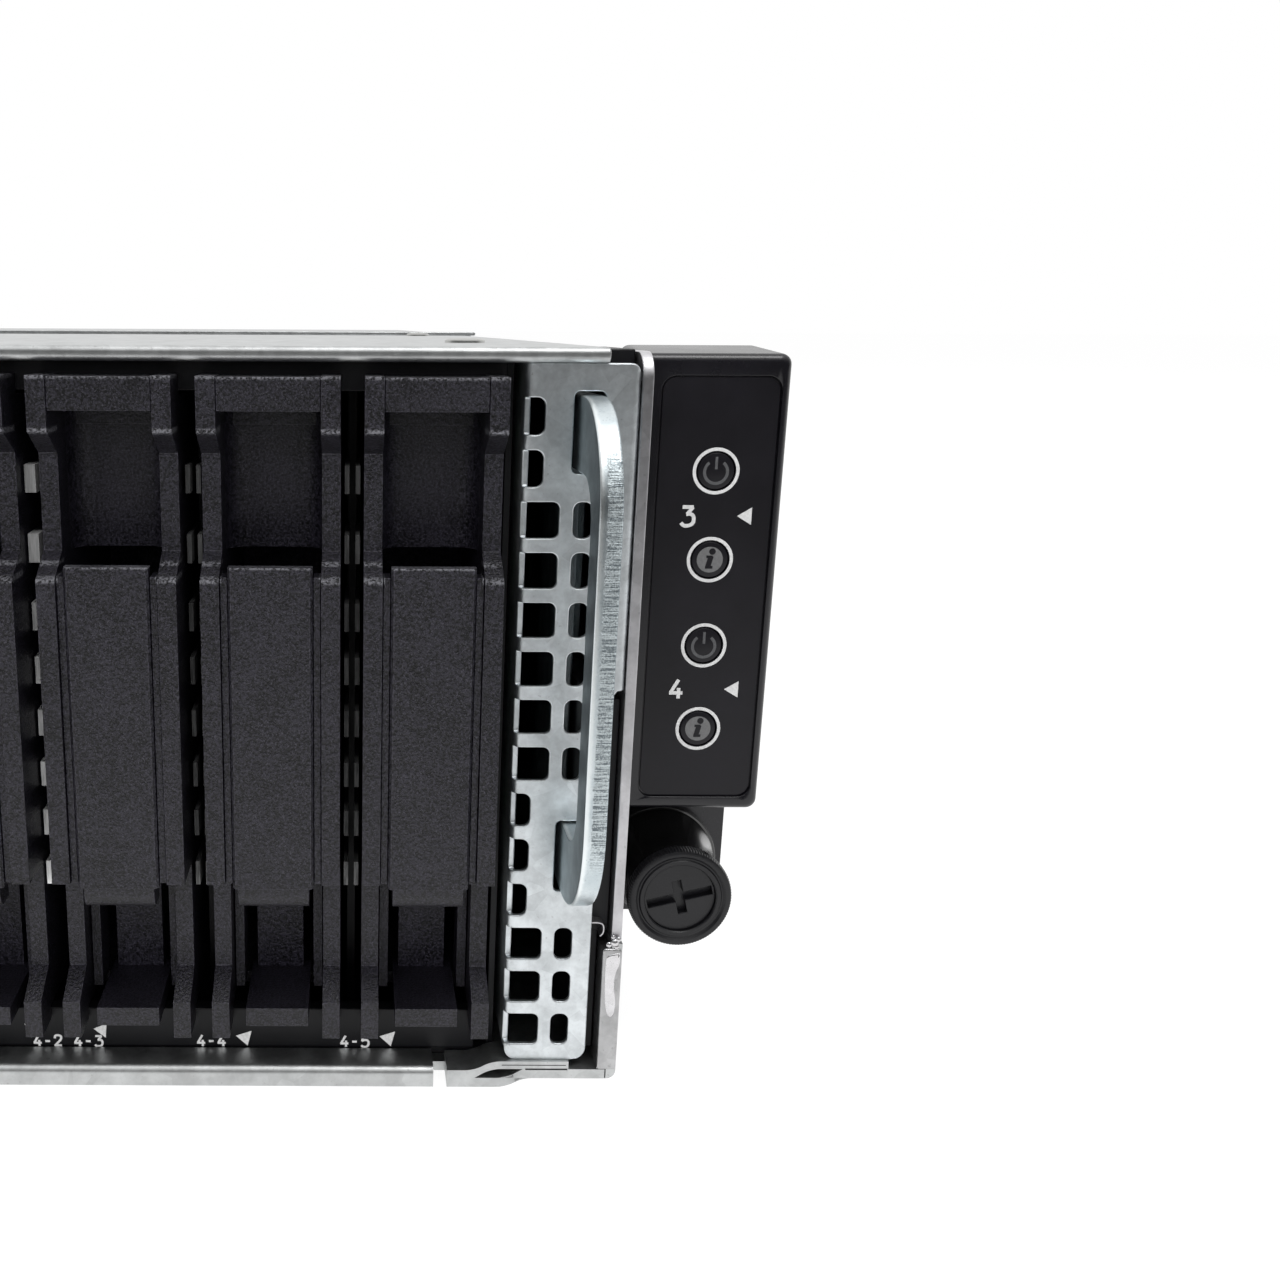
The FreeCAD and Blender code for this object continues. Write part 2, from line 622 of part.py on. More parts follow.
def right_ear_bracket():
    """Rack flange on a side leg; the leg is the front edge of the side and laps inside the tray wall."""
    back = EAR_SETBACK + EAR_SHEET
    rest = back + LEG_REST
    leg = prism_z([
        (WALL_IN, LEG_SETBACK),
        (WALL_OUT, LEG_SETBACK),
        (WALL_OUT, EAR_SETBACK),
        (EAR_EDGE, EAR_SETBACK),
        (EAR_EDGE, back),
        (WALL_OUT, back),
        (WALL_OUT, rest),
        (WALL_IN, rest + LEG_JOGGLE),
        (WALL_IN, rest + LEG_JOGGLE + LEG_LAP),
        (WALL_IN - SHEET, rest + LEG_JOGGLE + LEG_LAP),
        (WALL_IN - SHEET, rest + LEG_JOGGLE - SHEET / 2),
        (WALL_IN, rest - SHEET / 2),
    ], LEG_BOTTOM, LEDGE_UNDER)
    crest = prism_z([
        (WALL_IN, LEG_SETBACK),
        (WALL_OUT, LEG_SETBACK),
        (WALL_OUT, EAR_SETBACK),
        (EAR_EDGE, EAR_SETBACK),
        (EAR_EDGE, back),
        (WALL_IN, back),
    ], LEDGE_UNDER, EAR_TOP)
    crest = crest.cut(box(WALL_IN - 1, WALL_OUT, LEDGE_START - STACK_GAP, back + 1, LEDGE_UNDER,
                          EAR_TOP + 1))
    skirt = box(WALL_OUT, EAR_EDGE, EAR_SETBACK, back, EAR_BOTTOM, LEG_BOTTOM)
    bracket = join([leg, crest, skirt])
    bracket = bracket.cut(faceted(SCREW_X, SCREW_HEIGHT, SCREW_RADIUS + SCREW_HOLE_CLEAR,
                                  EAR_SETBACK - 1, back + 1, ROUND_FACETS))
    bracket = rounded(bracket, LEG_ROUND, lambda a, b: abs(a.x - b.x) > 1 and abs(a.x - b.x) < 2
                      and max(a.y, b.y) < LEG_SETBACK + 1e-6 and min(a.z, b.z) > LEDGE_UNDER)
    collar = rod(SCREW_X, SCREW_HEIGHT, COLLAR_RADIUS, EAR_SETBACK - COLLAR_THICK, EAR_SETBACK)
    collar = collar.cut(faceted(SCREW_X, SCREW_HEIGHT, SCREW_RADIUS + SCREW_HOLE_CLEAR,
                                EAR_SETBACK - COLLAR_THICK - 1, EAR_SETBACK + 1, ROUND_FACETS))
    return [bracket, collar]


def button_heights():
    """Centre heights of the four buttons, from the top down."""
    return [EAR_TOP - OVERLAY_TOP - BUTTON_FIRST - i * BUTTON_PITCH for i in range(BUTTON_COUNT)]


def right_panel_housing():
    """Moulded control panel shell with a sunk face for the overlay, its small board and four switches."""
    shell = box(HOUSING_LEFT, EAR_EDGE, HOUSING_FACE, EAR_SETBACK, HOUSING_BOTTOM, EAR_TOP)
    rim = [e for e in shell.Edges if max(v.Point.y for v in e.Vertexes) < HOUSING_FACE + 1e-6]
    shell = shell.makeChamfer(HOUSING_BEVEL, rim)
    hollow = box(HOUSING_LEFT + HOUSING_WALL, EAR_EDGE - HOUSING_WALL, PANEL_BACK, EAR_SETBACK + 1,
                 HOUSING_BOTTOM + HOUSING_WALL, EAR_TOP - HOUSING_WALL)
    sunk = clipped_hole(HOUSING_LEFT + OVERLAY_LEFT, EAR_EDGE - OVERLAY_RIGHT, HOUSING_FACE - 1,
                        OVERLAY_FACE,
                        HOUSING_BOTTOM + OVERLAY_BOTTOM, EAR_TOP - OVERLAY_TOP, OVERLAY_CLIP)
    shell = shell.cut(hollow).cut(sunk)
    board_face = SWITCH_FACE + PANEL_SWITCH
    switches = []
    for z in button_heights():
        shell = shell.cut(faceted(BUTTON_X, z, BUTTON_RADIUS + BUTTON_CLEAR, HOUSING_FACE - 1,
                                  PANEL_BACK + 1, ROUND_FACETS))
        half = PANEL_SWITCH_SIDE / 2
        switches.append(box(BUTTON_X - half, BUTTON_X + half, SWITCH_FACE, board_face, z - half,
                            z + half))
    heights = button_heights()
    posts = []
    for a, b in zip(heights[:-1:2], heights[1::2]):
        posts.append(box(BUTTON_X - PANEL_POST / 2, BUTTON_X + PANEL_POST / 2, PANEL_BACK, board_face,
                         (a + b - PANEL_POST) / 2, (a + b + PANEL_POST) / 2))
    shell = join([shell] + posts)
    inset = HOUSING_WALL + STACK_GAP
    board = box(HOUSING_LEFT + inset, EAR_EDGE - inset, board_face, board_face + PANEL_BOARD,
                HOUSING_BOTTOM + inset, EAR_TOP - inset)
    return [shell, join([board] + switches)]


def button(z):
    """Round key that slides in the panel face and ends just clear of its switch."""
    return faceted(BUTTON_X, z, BUTTON_RADIUS, OVERLAY_FACE, BUTTON_END, ROUND_FACETS)


def right_thumbscrew():
    """Captive screw in one with its slotted knob; a thin neck lets it turn in the ear."""
    thread = EAR_SETBACK + EAR_SHEET + STACK_GAP
    screw = join([rod(SCREW_X, SCREW_HEIGHT, KNOB_RADIUS, KNOB_FRONT, KNOB_BACK),
                  rod(SCREW_X, SCREW_HEIGHT, SCREW_NECK, KNOB_BACK, thread),
                  rod(SCREW_X, SCREW_HEIGHT, SCREW_RADIUS, thread, thread + SCREW_TAIL)])
    for width, height in ((KNOB_SLOT_LENGTH, KNOB_SLOT), (KNOB_SLOT, KNOB_CROSS)):
        screw = screw.cut(box(SCREW_X - width / 2, SCREW_X + width / 2, KNOB_FRONT - 1,
                              KNOB_FRONT + KNOB_SLOT_DEPTH,
                              SCREW_HEIGHT - height / 2, SCREW_HEIGHT + height / 2))
    return screw


def fan_x(index):
    """Centre of a fan across the enclosure."""
    return (index - (FAN_COUNT - 1) / 2) * FAN_SPACING


def fan_cage():
    """Fan tray with upturned lips, and four fan frames with the struts that carry the hubs."""
    front = FAN_SETBACK
    back = FAN_SETBACK + FAN_DEPTH
    reach = fan_x(FAN_COUNT - 1) + FAN_SIDE / 2
    base = box(-reach, reach, front - CAGE_SHEET, back + CAGE_SHEET, FLOOR_TOP, CAGE_FLOOR)
    lips = [box(-reach, reach, front - CAGE_SHEET, front, FLOOR_TOP, CAGE_FLOOR + FAN_TRAY_LIP),
            box(-reach, reach, back, back + CAGE_SHEET, FLOOR_TOP, CAGE_FLOOR + FAN_TRAY_LIP)]
    solids = [join([base] + lips)]
    half = FAN_SIDE / 2
    for index in range(FAN_COUNT):
        x = fan_x(index)
        frame = box(x - half, x + half, front, back, CAGE_FLOOR, CAGE_FLOOR + FAN_SIDE)
        frame = frame.cut(faceted(x, FAN_Z, FAN_BORE, front - 1, back + 1, ROUND_FACETS))
        plate_front = back - FAN_STRUT_DEPTH
        spokes = [box(x - half + FAN_RIM / 2, x + half - FAN_RIM / 2, plate_front, back,
                      FAN_Z - FAN_STRUT / 2, FAN_Z + FAN_STRUT / 2),
                  box(x - FAN_STRUT / 2, x + FAN_STRUT / 2, plate_front, back,
                      FAN_Z - half + FAN_RIM / 2, FAN_Z + half - FAN_RIM / 2)]
        solids.append(join([frame] + spokes))
    return solids


def fan_rotor(index):
    """Hub with pitched blades, running just clear of the struts that carry it."""
    back = FAN_SETBACK + FAN_DEPTH - FAN_STRUT_DEPTH - SEAT_GAP
    hub = faceted(0, 0, FAN_HUB, back - FAN_HUB_DEPTH, back, 2 * FAN_BLADES)
    hub = hub.cut(rod(0, 0, FAN_HUB_DISH, back - FAN_HUB_DEPTH - 1,
                      back - FAN_HUB_DEPTH + FAN_DISH_DEPTH))
    middle = back - FAN_HUB_DEPTH / 2
    root = FAN_HUB - FAN_RIM
    blades = []
    for turn in range(FAN_BLADES):
        blade = box(-FAN_BLADE_THICK / 2, FAN_BLADE_THICK / 2, -FAN_BLADE_CHORD / 2,
                    FAN_BLADE_CHORD / 2, root, FAN_TIP)
        blade.rotate(V(0, 0, 0), V(0, 0, 1), FAN_BLADE_PITCH)
        blade.translate(V(0, middle, 0))
        blade.rotate(V(0, 0, 0), V(0, 1, 0), turn * 360 / FAN_BLADES)
        blades.append(blade)
    rotor = join([hub] + blades)
    rotor.translate(V(fan_x(index), 0, FAN_Z))
    return rotor


def midplane():
    """Upright boards in front of the sleds with their plugs, and the power board between the sled bays."""
    solids = []
    back = MIDPLANE_SETBACK + BOARD
    right = box(CHANNEL + SHEET, WALL_IN, MIDPLANE_SETBACK, back, STEP_FLOOR, COVER_UNDER - BOARD_MARGIN)
    for level in (STEP_FLOOR, SHELF_UNDER + SHEET):
        z = level + STACK_GAP + SLED_HEIGHT / 2
        for s in (-1, 1):
            x = SLED_LEFT + SLED_WIDTH / 2 + s * SLED_WIDTH / 4
            right = right.cut(box(x - MIDPLANE_WINDOW / 2, x + MIDPLANE_WINDOW / 2,
                                  MIDPLANE_SETBACK - 1, back + 1,
                                  z - SLED_HEIGHT / 2 + MIDPLANE_BAR, z + SLED_HEIGHT / 2 - MIDPLANE_BAR))
        x = SLED_LEFT + SLED_WIDTH / 2
        plug = box(x - MIDPLANE_PLUG_WIDTH / 2, x + MIDPLANE_PLUG_WIDTH / 2, back,
                   back + MIDPLANE_PLUG_DEPTH,
                   level + MIDPLANE_BAR, level + MIDPLANE_BAR + MIDPLANE_PLUG_HEIGHT)
        solids += [plug, mirrored(plug)]
    solids += [right, mirrored(right)]
    half = CHANNEL - BOARD_MARGIN
    end = BODY_DEPTH - PSU_LENGTH - POWER_BOARD_GAP
    deck = FLOOR_TOP + POWER_BOARD_POST
    power = [box(-half, half, POWER_BOARD_START, end, deck, deck + BOARD)]
    for s in (-1, 1):
        x = s * half / 2
        power.append(box(x - POWER_BUS_WIDTH / 2, x + POWER_BUS_WIDTH / 2, POWER_BOARD_START, end,
                         FLOOR_TOP, deck + POWER_BUS_HEIGHT))
    solids.append(join(power))
    return solids


def comb(width, height, base, count, tooth):
    """Front profile of a base plate with evenly spread upright fins, centred on x = 0."""
    points = [(-width / 2, 0), (width / 2, 0)]
    pitch = (width - tooth) / (count - 1)
    for index in reversed(range(count)):
        left = -width / 2 + index * pitch
        points += [(left + tooth, height), (left, height)]
        if index:
            points += [(left, base), (left - pitch + tooth, base)]
    return points


def sled():
    """Server node: open tray with rear panel, board, two finned coolers, memory, card, ports and pull."""
    width = SLED_WIDTH
    rear = SLED_BODY
    tray = prism_y([
        (0, 0),
        (width, 0),
        (width, SLED_WALL),
        (width - SLED_SHEET, SLED_WALL),
        (width - SLED_SHEET, SLED_SHEET),
        (SLED_SHEET, SLED_SHEET),
        (SLED_SHEET, SLED_WALL),
        (0, SLED_WALL),
    ], 0, rear)
    panel = box(0, width, rear - SLED_SHEET, rear, 0, SLED_HEIGHT)
    deck = SLED_SHEET + SLED_POST
    board_end = rear - SLED_BOARD_TAIL
    board = box(SLED_BOARD_MARGIN, width - SLED_BOARD_MARGIN, SLED_BOARD_START, board_end, deck,
                deck + SLED_BOARD)
    posts = []
    for x in (SLED_BOARD_MARGIN, width - SLED_BOARD_MARGIN - SLED_POST_SIDE):
        posts.append(box(x, x + SLED_POST_SIDE, SLED_BOARD_START, board_end, SLED_SHEET, deck))
    top = deck + SLED_BOARD
    middle = width / 2
    solids = []
    for y in (SINK_FIRST, SINK_SECOND):
        sink = prism_y(comb(SINK_WIDTH, SINK_HEIGHT, SINK_BASE, SINK_FINS, SINK_FIN), y, y + SINK_LENGTH)
        sink.translate(V(middle, 0, top))
        solids.append(sink)
        bank_width = (MEMORY_STICKS - 1) * MEMORY_PITCH + MEMORY_STICK
        bank = prism_y(comb(bank_width, MEMORY_HEIGHT, MEMORY_BASE, MEMORY_STICKS, MEMORY_STICK),
                       y - (MEMORY_LENGTH - SINK_LENGTH) / 2, y + (MEMORY_LENGTH + SINK_LENGTH) / 2)
        for s in (-1, 1):
            side = bank.copy()
            side.translate(V(middle + s * (SINK_WIDTH / 2 + MEMORY_INSET + bank_width / 2), 0, top))
            solids.append(side)
    port = box(middle - SLED_PORT_HEIGHT, middle + SLED_PORT_HEIGHT, rear - SLED_PORT_DEPTH,
               rear - SLED_SHEET, SLED_SHEET, SLED_SHEET + SLED_PORT_HEIGHT)
    mouth = box(middle - SLED_PORT_HEIGHT + SLED_SHEET, middle + SLED_PORT_HEIGHT - SLED_SHEET,
                rear - SLED_PORT_DEPTH + SLED_SHEET, rear + 1, 2 * SLED_SHEET, SLED_PORT_HEIGHT)
    card_left = SLED_BOARD_MARGIN
    card = box(card_left, card_left + SLED_CARD_WIDTH, board_end + SLED_POST, rear - SLED_SHEET,
               SLED_SHEET, SLED_SHEET + SLED_CARD_HEIGHT)
    slot = box(card_left + SLED_SHEET, card_left + SLED_CARD_WIDTH - SLED_SHEET, rear - SLED_CARD_SLOT,
               rear + 1, 2 * SLED_SHEET, SLED_CARD_HEIGHT)
    card_end = min(card_left + SLED_CARD_WIDTH, middle - SLED_PORT_HEIGHT - SLED_SHEET)
    card = card.common(box(0, card_end, 0, rear, 0, SLED_HEIGHT))
    slot = slot.common(box(0, card_end - SLED_SHEET, 0, rear + 2, 0, SLED_HEIGHT))
    plug = box(middle - MIDPLANE_PLUG_WIDTH / 2, middle + MIDPLANE_PLUG_WIDTH / 2, 0, SLED_BOARD_START,
               deck, deck + MIDPLANE_PLUG_HEIGHT)
    stand = box(middle - MIDPLANE_PLUG_WIDTH / 2, middle + MIDPLANE_PLUG_WIDTH / 2, 0,
                SLED_BOARD_START, SLED_SHEET, deck)
    panel = panel.cut(mouth).cut(slot)
    pull_right = width - SLED_BOARD_MARGIN
    pull_left = pull_right - SLED_PULL_WIDTH
    pull_low = SLED_HEIGHT / 2 - SLED_PULL_HEIGHT / 2
    pull = box(pull_left, pull_right, rear, rear + SLED_PULL, pull_low, pull_low + SLED_PULL_HEIGHT)
    hole = box(pull_left + SLED_PULL_BAR, pull_right - SLED_PULL_BAR, rear,
               rear + SLED_PULL - SLED_PULL_BAR, pull_low - 1, pull_low + SLED_PULL_HEIGHT + 1)
    tab_left = pull_left - SLED_PULL_BAR - SLED_TAB_WIDTH
    tab = box(tab_left, tab_left + SLED_TAB_WIDTH, rear, rear + SLED_TAB_REACH,
              SLED_HEIGHT / 2 - SLED_TAB_HEIGHT / 2, SLED_HEIGHT / 2 + SLED_TAB_HEIGHT / 2)
    tab = tab.cut(prism_x([
        (rear + SLED_TAB_REACH / 2, SLED_HEIGHT / 2 + SLED_TAB_HEIGHT / 2 + 1),
        (rear + SLED_TAB_REACH + 1, SLED_HEIGHT / 2 + SLED_TAB_HEIGHT / 2 + 1),
        (rear + SLED_TAB_REACH + 1, SLED_HEIGHT / 2),
    ], tab_left - 1, tab_left + SLED_TAB_WIDTH + 1))
    solids += [join([tray, panel] + posts), board, card.cut(slot), port.cut(mouth), join([plug, stand]),
               pull.cut(hole), tab]
    return Part.makeCompound(solids)


def power_supply():
    """Plug-in supply: case with inlet well and fan mouth at the rear, pull loop and release tab."""
    half = PSU_WIDTH / 2
    rear = BODY_DEPTH
    middle = SLED_HEIGHT / 2
    case = box(-half, half, rear - PSU_LENGTH + STACK_GAP, rear, 0, SLED_HEIGHT)
    inlet_right = half - PSU_INLET_EDGE
    well = box(inlet_right - PSU_INLET_WIDTH, inlet_right, rear - PSU_INLET_DEPTH, rear + 1,
               middle - PSU_INLET_HEIGHT / 2, middle + PSU_INLET_HEIGHT / 2)
    wall = PSU_INLET_WALL
    inlet = box(inlet_right - PSU_INLET_WIDTH + wall, inlet_right - wall, rear - PSU_INLET_DEPTH,
                rear - PSU_INLET_DEPTH + 4 * wall, middle - PSU_INLET_HEIGHT / 2 + 3 * wall,
                middle + PSU_INLET_HEIGHT / 2 - 3 * wall)
    fan_left = -half + PSU_FAN_EDGE
    mouth = faceted(fan_left, middle, PSU_FAN, rear - PSU_FAN_DEPTH, rear + 1, ROUND_FACETS)
    hub = faceted(fan_left, middle, PSU_FAN_HUB, rear - PSU_FAN_DEPTH, rear - PSU_FAN_RIB, ROUND_FACETS)
    ribs = [box(fan_left - PSU_FAN, fan_left + PSU_FAN, rear - 2 * PSU_FAN_RIB, rear - PSU_FAN_RIB,
                middle - PSU_FAN_RIB / 2, middle + PSU_FAN_RIB / 2),
            box(fan_left - PSU_FAN_RIB / 2, fan_left + PSU_FAN_RIB / 2, rear - 2 * PSU_FAN_RIB,
                rear - PSU_FAN_RIB, middle - PSU_FAN, middle + PSU_FAN)]
    case = join([case.cut(mouth).cut(well), hub] + ribs)
    pull_x = fan_left + PSU_FAN + PSU_PULL_EDGE
    pull = box(pull_x, pull_x + PSU_PULL_WIDTH, rear, rear + PSU_PULL_REACH, PSU_PULL_EDGE,
               SLED_HEIGHT - PSU_PULL_EDGE)
    hole = box(pull_x - 1, pull_x + PSU_PULL_WIDTH + 1, rear, rear + PSU_PULL_REACH - PSU_PULL_BAR,
               PSU_PULL_EDGE + PSU_PULL_BAR, SLED_HEIGHT - PSU_PULL_EDGE - PSU_PULL_BAR)
    tab = box(-half, -half + PSU_TAB_HEIGHT / 2, rear, rear + PSU_TAB_REACH, middle - PSU_TAB_WIDTH / 2,
              middle + PSU_TAB_WIDTH / 2)
    return Part.makeCompound([case, inlet, pull.cut(hole), tab])


def save(name, shape):
    """Move a finished piece to the part's origin and write it."""
    if isinstance(shape, list):
        shape = Part.makeCompound(shape)
    shape = shape.copy()
    shape.translate(V(0, Y_SHIFT, 0))
    shape.exportStep(os.path.join("parts", name + ".step"))


def pair(name, shape):
    """Write a right-hand piece and its left-hand twin."""
    solids = shape if isinstance(shape, list) else [shape]
    save("right_" + name, solids)
    save("left_" + name, [mirrored(s) for s in solids])


def main():
    os.makedirs("parts", exist_ok=True)
    save("chassis_tray", chassis_tray())
    save("front_cover", front_cover())
    save("rear_cover", rear_cover())
    save("sled_cage", sled_cage())
    save("drive_cage", [drive_cage()] + [divider(i) for i in range(1, BAY_COUNT)])
    save("drive_backplane", drive_backplane())
    save("fan_cage", fan_cage())
    save("midplane", midplane())
    pair("grille", right_grille())
    pair("handle", right_handle())
    pair("ear_bracket", right_ear_bracket())
    pair("panel_housing", right_panel_housing())
    pair("thumbscrew", right_thumbscrew())
    for index, z in enumerate(button_heights()):
        pair("button_%d" % (index + 1), button(z))
    for index in range(FAN_COUNT):
        save("fan_rotor_%d" % (index + 1), fan_rotor(index))
    blank = drive_blank()
    for index in range(BAY_COUNT):
        copy = blank.copy()
        copy.translate(V((index - (BAY_COUNT - 1) / 2) * BAY_PITCH, 0, 0))
        save("blank_%d_%d" % (index // 6 + 1, index % 6), copy)
    for index in range(4):
        left = -WALL_IN + SLIDE_GAP if index < 2 else SLED_LEFT
        level = STEP_FLOOR if index % 2 == 0 else SHELF_UNDER + SHEET
        copy = sled()
        copy.translate(V(left, SLED_FRONT, level + STACK_GAP))
        save("sled_%d" % (index + 1), copy)
    for index, level in enumerate((STEP_FLOOR, SHELF_UNDER + SHEET)):
        copy = power_supply()
        copy.translate(V(0, 0, level + STACK_GAP))
        save("power_supply_%d" % (index + 1), copy)


main()
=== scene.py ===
import math
from contextlib import contextmanager

import bmesh
import bpy
import numpy as np
from mathutils import Matrix, Vector
from mathutils.geometry import delaunay_2d_cdt


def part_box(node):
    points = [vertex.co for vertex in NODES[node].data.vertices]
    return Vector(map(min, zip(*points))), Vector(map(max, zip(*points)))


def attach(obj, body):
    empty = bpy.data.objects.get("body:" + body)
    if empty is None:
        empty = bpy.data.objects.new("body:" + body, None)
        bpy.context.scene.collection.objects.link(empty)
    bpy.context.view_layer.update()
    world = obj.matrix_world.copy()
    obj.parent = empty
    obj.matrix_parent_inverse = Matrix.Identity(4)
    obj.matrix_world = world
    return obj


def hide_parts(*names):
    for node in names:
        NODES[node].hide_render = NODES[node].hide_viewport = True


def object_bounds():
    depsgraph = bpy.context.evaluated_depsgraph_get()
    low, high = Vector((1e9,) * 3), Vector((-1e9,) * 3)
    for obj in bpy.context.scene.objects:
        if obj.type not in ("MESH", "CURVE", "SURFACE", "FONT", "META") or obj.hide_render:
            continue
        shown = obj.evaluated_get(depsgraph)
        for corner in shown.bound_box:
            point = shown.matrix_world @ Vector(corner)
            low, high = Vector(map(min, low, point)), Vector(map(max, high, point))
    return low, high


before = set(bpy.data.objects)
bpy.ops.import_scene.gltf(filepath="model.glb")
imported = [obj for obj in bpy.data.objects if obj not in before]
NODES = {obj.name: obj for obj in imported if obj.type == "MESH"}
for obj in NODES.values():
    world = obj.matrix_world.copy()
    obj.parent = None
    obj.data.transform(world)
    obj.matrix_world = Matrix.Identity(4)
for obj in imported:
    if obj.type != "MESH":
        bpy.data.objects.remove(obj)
CAD_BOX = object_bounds()

# Millimetres; X to the right, Y from the tray's front edge to the rear, Z up from the tray's underside
MM = 0.001
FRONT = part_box("chassis_tray")[0].y / MM
ORIGIN = np.array((0, FRONT, 0))
SIDES = (("right", 1), ("left", -1))
STEEL, PLASTIC = "galvanised_steel", "black_plastic"

# Sizes that shapes and finishes share
BAYS = 24
NODE_BAYS = 6
BAY_PITCH = 17.5
BAY_WIDTH = 15.0
RUNG_FRONT = 5.0
HANDLE_X = (216.35, 218.75)
WALL_X = 224.0
REAR = 763.0


# Shapes: each is an array of points and a list of faces

def at_depth(outline, value, axis=1):
    """Flat outline set at one place along an axis: along Y, where no other is named."""
    return np.insert(np.asarray(outline, float), axis, value, axis=1)


def loft(rings, ends=True, closed=False):
    """Grid of rings times points: quads join each closed ring to the next, and flat ends close it."""
    grid = np.asarray(rings, float)
    m, n = grid.shape[:2]
    i, j = np.meshgrid(np.arange(m if closed else m - 1), np.arange(n), indexing="ij")
    k, l = (i + 1) % m, (j + 1) % n
    faces = np.stack([i * n + j, i * n + l, k * n + l, k * n + j], -1).reshape(-1, 4).tolist()
    if ends and not closed:
        faces += [list(range(n - 1, -1, -1)), list(range((m - 1) * n, m * n))]
    return grid.reshape(-1, 3), faces


def prism(outline, axis, a, b):
    """Closed outline carried straight along an axis from a to b, with flat ends."""
    return loft([at_depth(outline, a, axis), at_depth(outline, b, axis)])


def tube(outer, inner, a, b, axis=1):
    """Outer and inner outlines set at two places along an axis and joined round."""
    rings = ((outer, a), (outer, b), (inner, b), (inner, a))
    return loft([at_depth(outline, place, axis) for outline, place in rings], closed=True)


def corners(x0, x1, z0, z1):
    """Rectangle."""
    return [(x0, z0), (x1, z0), (x1, z1), (x0, z1)]


def grown(box, gap):
    """Limits of a rectangle with each side moved outward."""
    return box[0] - gap, box[1] + gap, box[2] - gap, box[3] + gap


def block(x0, x1, y0, y1, z0, z1):
    """Rectangle in X and Y carried up Z."""
    return prism(corners(x0, x1, y0, y1), 2, z0, z1)


def circle(x, z, r, t):
    """Points (x + r cos t, z + r sin t)."""
    return np.stack([x + r * np.cos(t), z + r * np.sin(t)], 1)


def disc(x, z, radius, steps=48):
    """Whole circle."""
    return circle(x, z, radius, np.linspace(0, 2 * math.pi, steps, endpoint=False))


def arc(x, z, radius, start, end, steps=6):
    """Part of a circle from one angle to another, in degrees."""
    return circle(x, z, radius, np.radians(np.linspace(start, end, steps + 1)))


def tablet(x0, x1, z0, z1, radius, steps=6):
    """Rectangle with rounded corners: each corner is a quarter of a circle about its own centre."""
    r = np.broadcast_to(np.asarray(radius, float), (4,))
    t = np.linspace(0, math.pi / 2, steps + 1)
    centres = ((x1 - r[0], z1 - r[0]), (x0 + r[1], z1 - r[1]), (x0 + r[2], z0 + r[2]), (x1 - r[3], z0 + r[3]))
    return np.concatenate([circle(x, z, r[k], t + k * math.pi / 2) for k, (x, z) in enumerate(centres)])


def turned(profile, x, z, steps):
    """Profile of (radius, y) turned about a line along Y: (x + r cos t, y, z + r sin t)."""
    return loft([at_depth(disc(x, z, r, steps), y) for r, y in profile])


def softened(path, passes=2):
    """Corner cutting: each pass puts points at a quarter and three quarters of every run, ends kept."""
    p = np.asarray(path, float)
    for _ in range(passes):
        a, b = p[:-1], p[1:]
        cuts = np.stack([0.75 * a + 0.25 * b, 0.25 * a + 0.75 * b], 1).reshape(-1, 2)
        p = np.concatenate([p[:1], cuts, p[-1:]])
    return p


def stroke(path, width, y0, y1):
    """Flat line: a rectangle carried along a path in X and Z, mitred at its corners."""
    p = np.asarray(path, float)
    p = p[np.concatenate([[True], np.linalg.norm(np.diff(p, axis=0), axis=1) > 1e-6])]
    runs = np.diff(p, axis=0)
    runs /= np.linalg.norm(runs, axis=1)[:, None]
    ahead = np.concatenate([runs, runs[-1:]])
    mid = ahead + np.concatenate([runs[:1], runs])
    mid /= np.maximum(np.linalg.norm(mid, axis=1), 1e-6)[:, None]
    reach = width / 2 / np.maximum((mid * ahead).sum(1), 0.5)
    off = np.stack([-mid[:, 1], mid[:, 0]], 1) * reach[:, None]
    edges = ((p + off, y0), (p - off, y0), (p - off, y1), (p + off, y1))
    return loft(np.stack([at_depth(line, y) for line, y in edges], 1))


def moved(shapes, dx=0.0, dy=0.0, dz=0.0):
    """Same shapes at another place."""
    return [(p + (dx, dy, dz), f) for p, f in shapes]


def sided(shapes, side):
    """Right-hand shapes as they are, or their left-hand twins: X becomes -X."""
    return [(p * (side, 1, 1), f) for p, f in shapes]


# Pieces: shapes put into a mesh, finished and hung on a body

@contextmanager
def edited(mesh):
    """Mesh opened for editing, and then written back."""
    work = bmesh.new()
    work.from_mesh(mesh)
    yield work
    work.to_mesh(mesh)
    work.free()


def values(items, key):
    """Rows of three numbers read from a mesh."""
    found = np.empty(len(items) * 3)
    items.foreach_get(key, found)
    return found.reshape(-1, 3)


def gather(name, shapes):
    """One mesh from several shapes, in metres in the part's frame, with all faces outward."""
    start = np.cumsum([0] + [len(p) for p, f in shapes])
    points = np.concatenate([p for p, f in shapes]) + ORIGIN
    faces = [[v + s for v in face] for (p, f), s in zip(shapes, start) for face in f]
    mesh = bpy.data.meshes.new(name)
    mesh.from_pydata(points * MM, [], faces)
    with edited(mesh) as work:
        bmesh.ops.recalc_face_normals(work, faces=work.faces)
    return mesh


def placed(name, data):
    """Object put into the scene."""
    made = bpy.data.objects.new(name, data)
    bpy.context.scene.collection.objects.link(made)
    return made


def rounded(piece, label, width, segments, method):
    """Bevel of a width in millimetres."""
    ease = piece.modifiers.new(label, "BEVEL")
    ease.width = width * MM
    ease.segments = segments
    ease.limit_method = method
    ease.harden_normals = True
    return ease


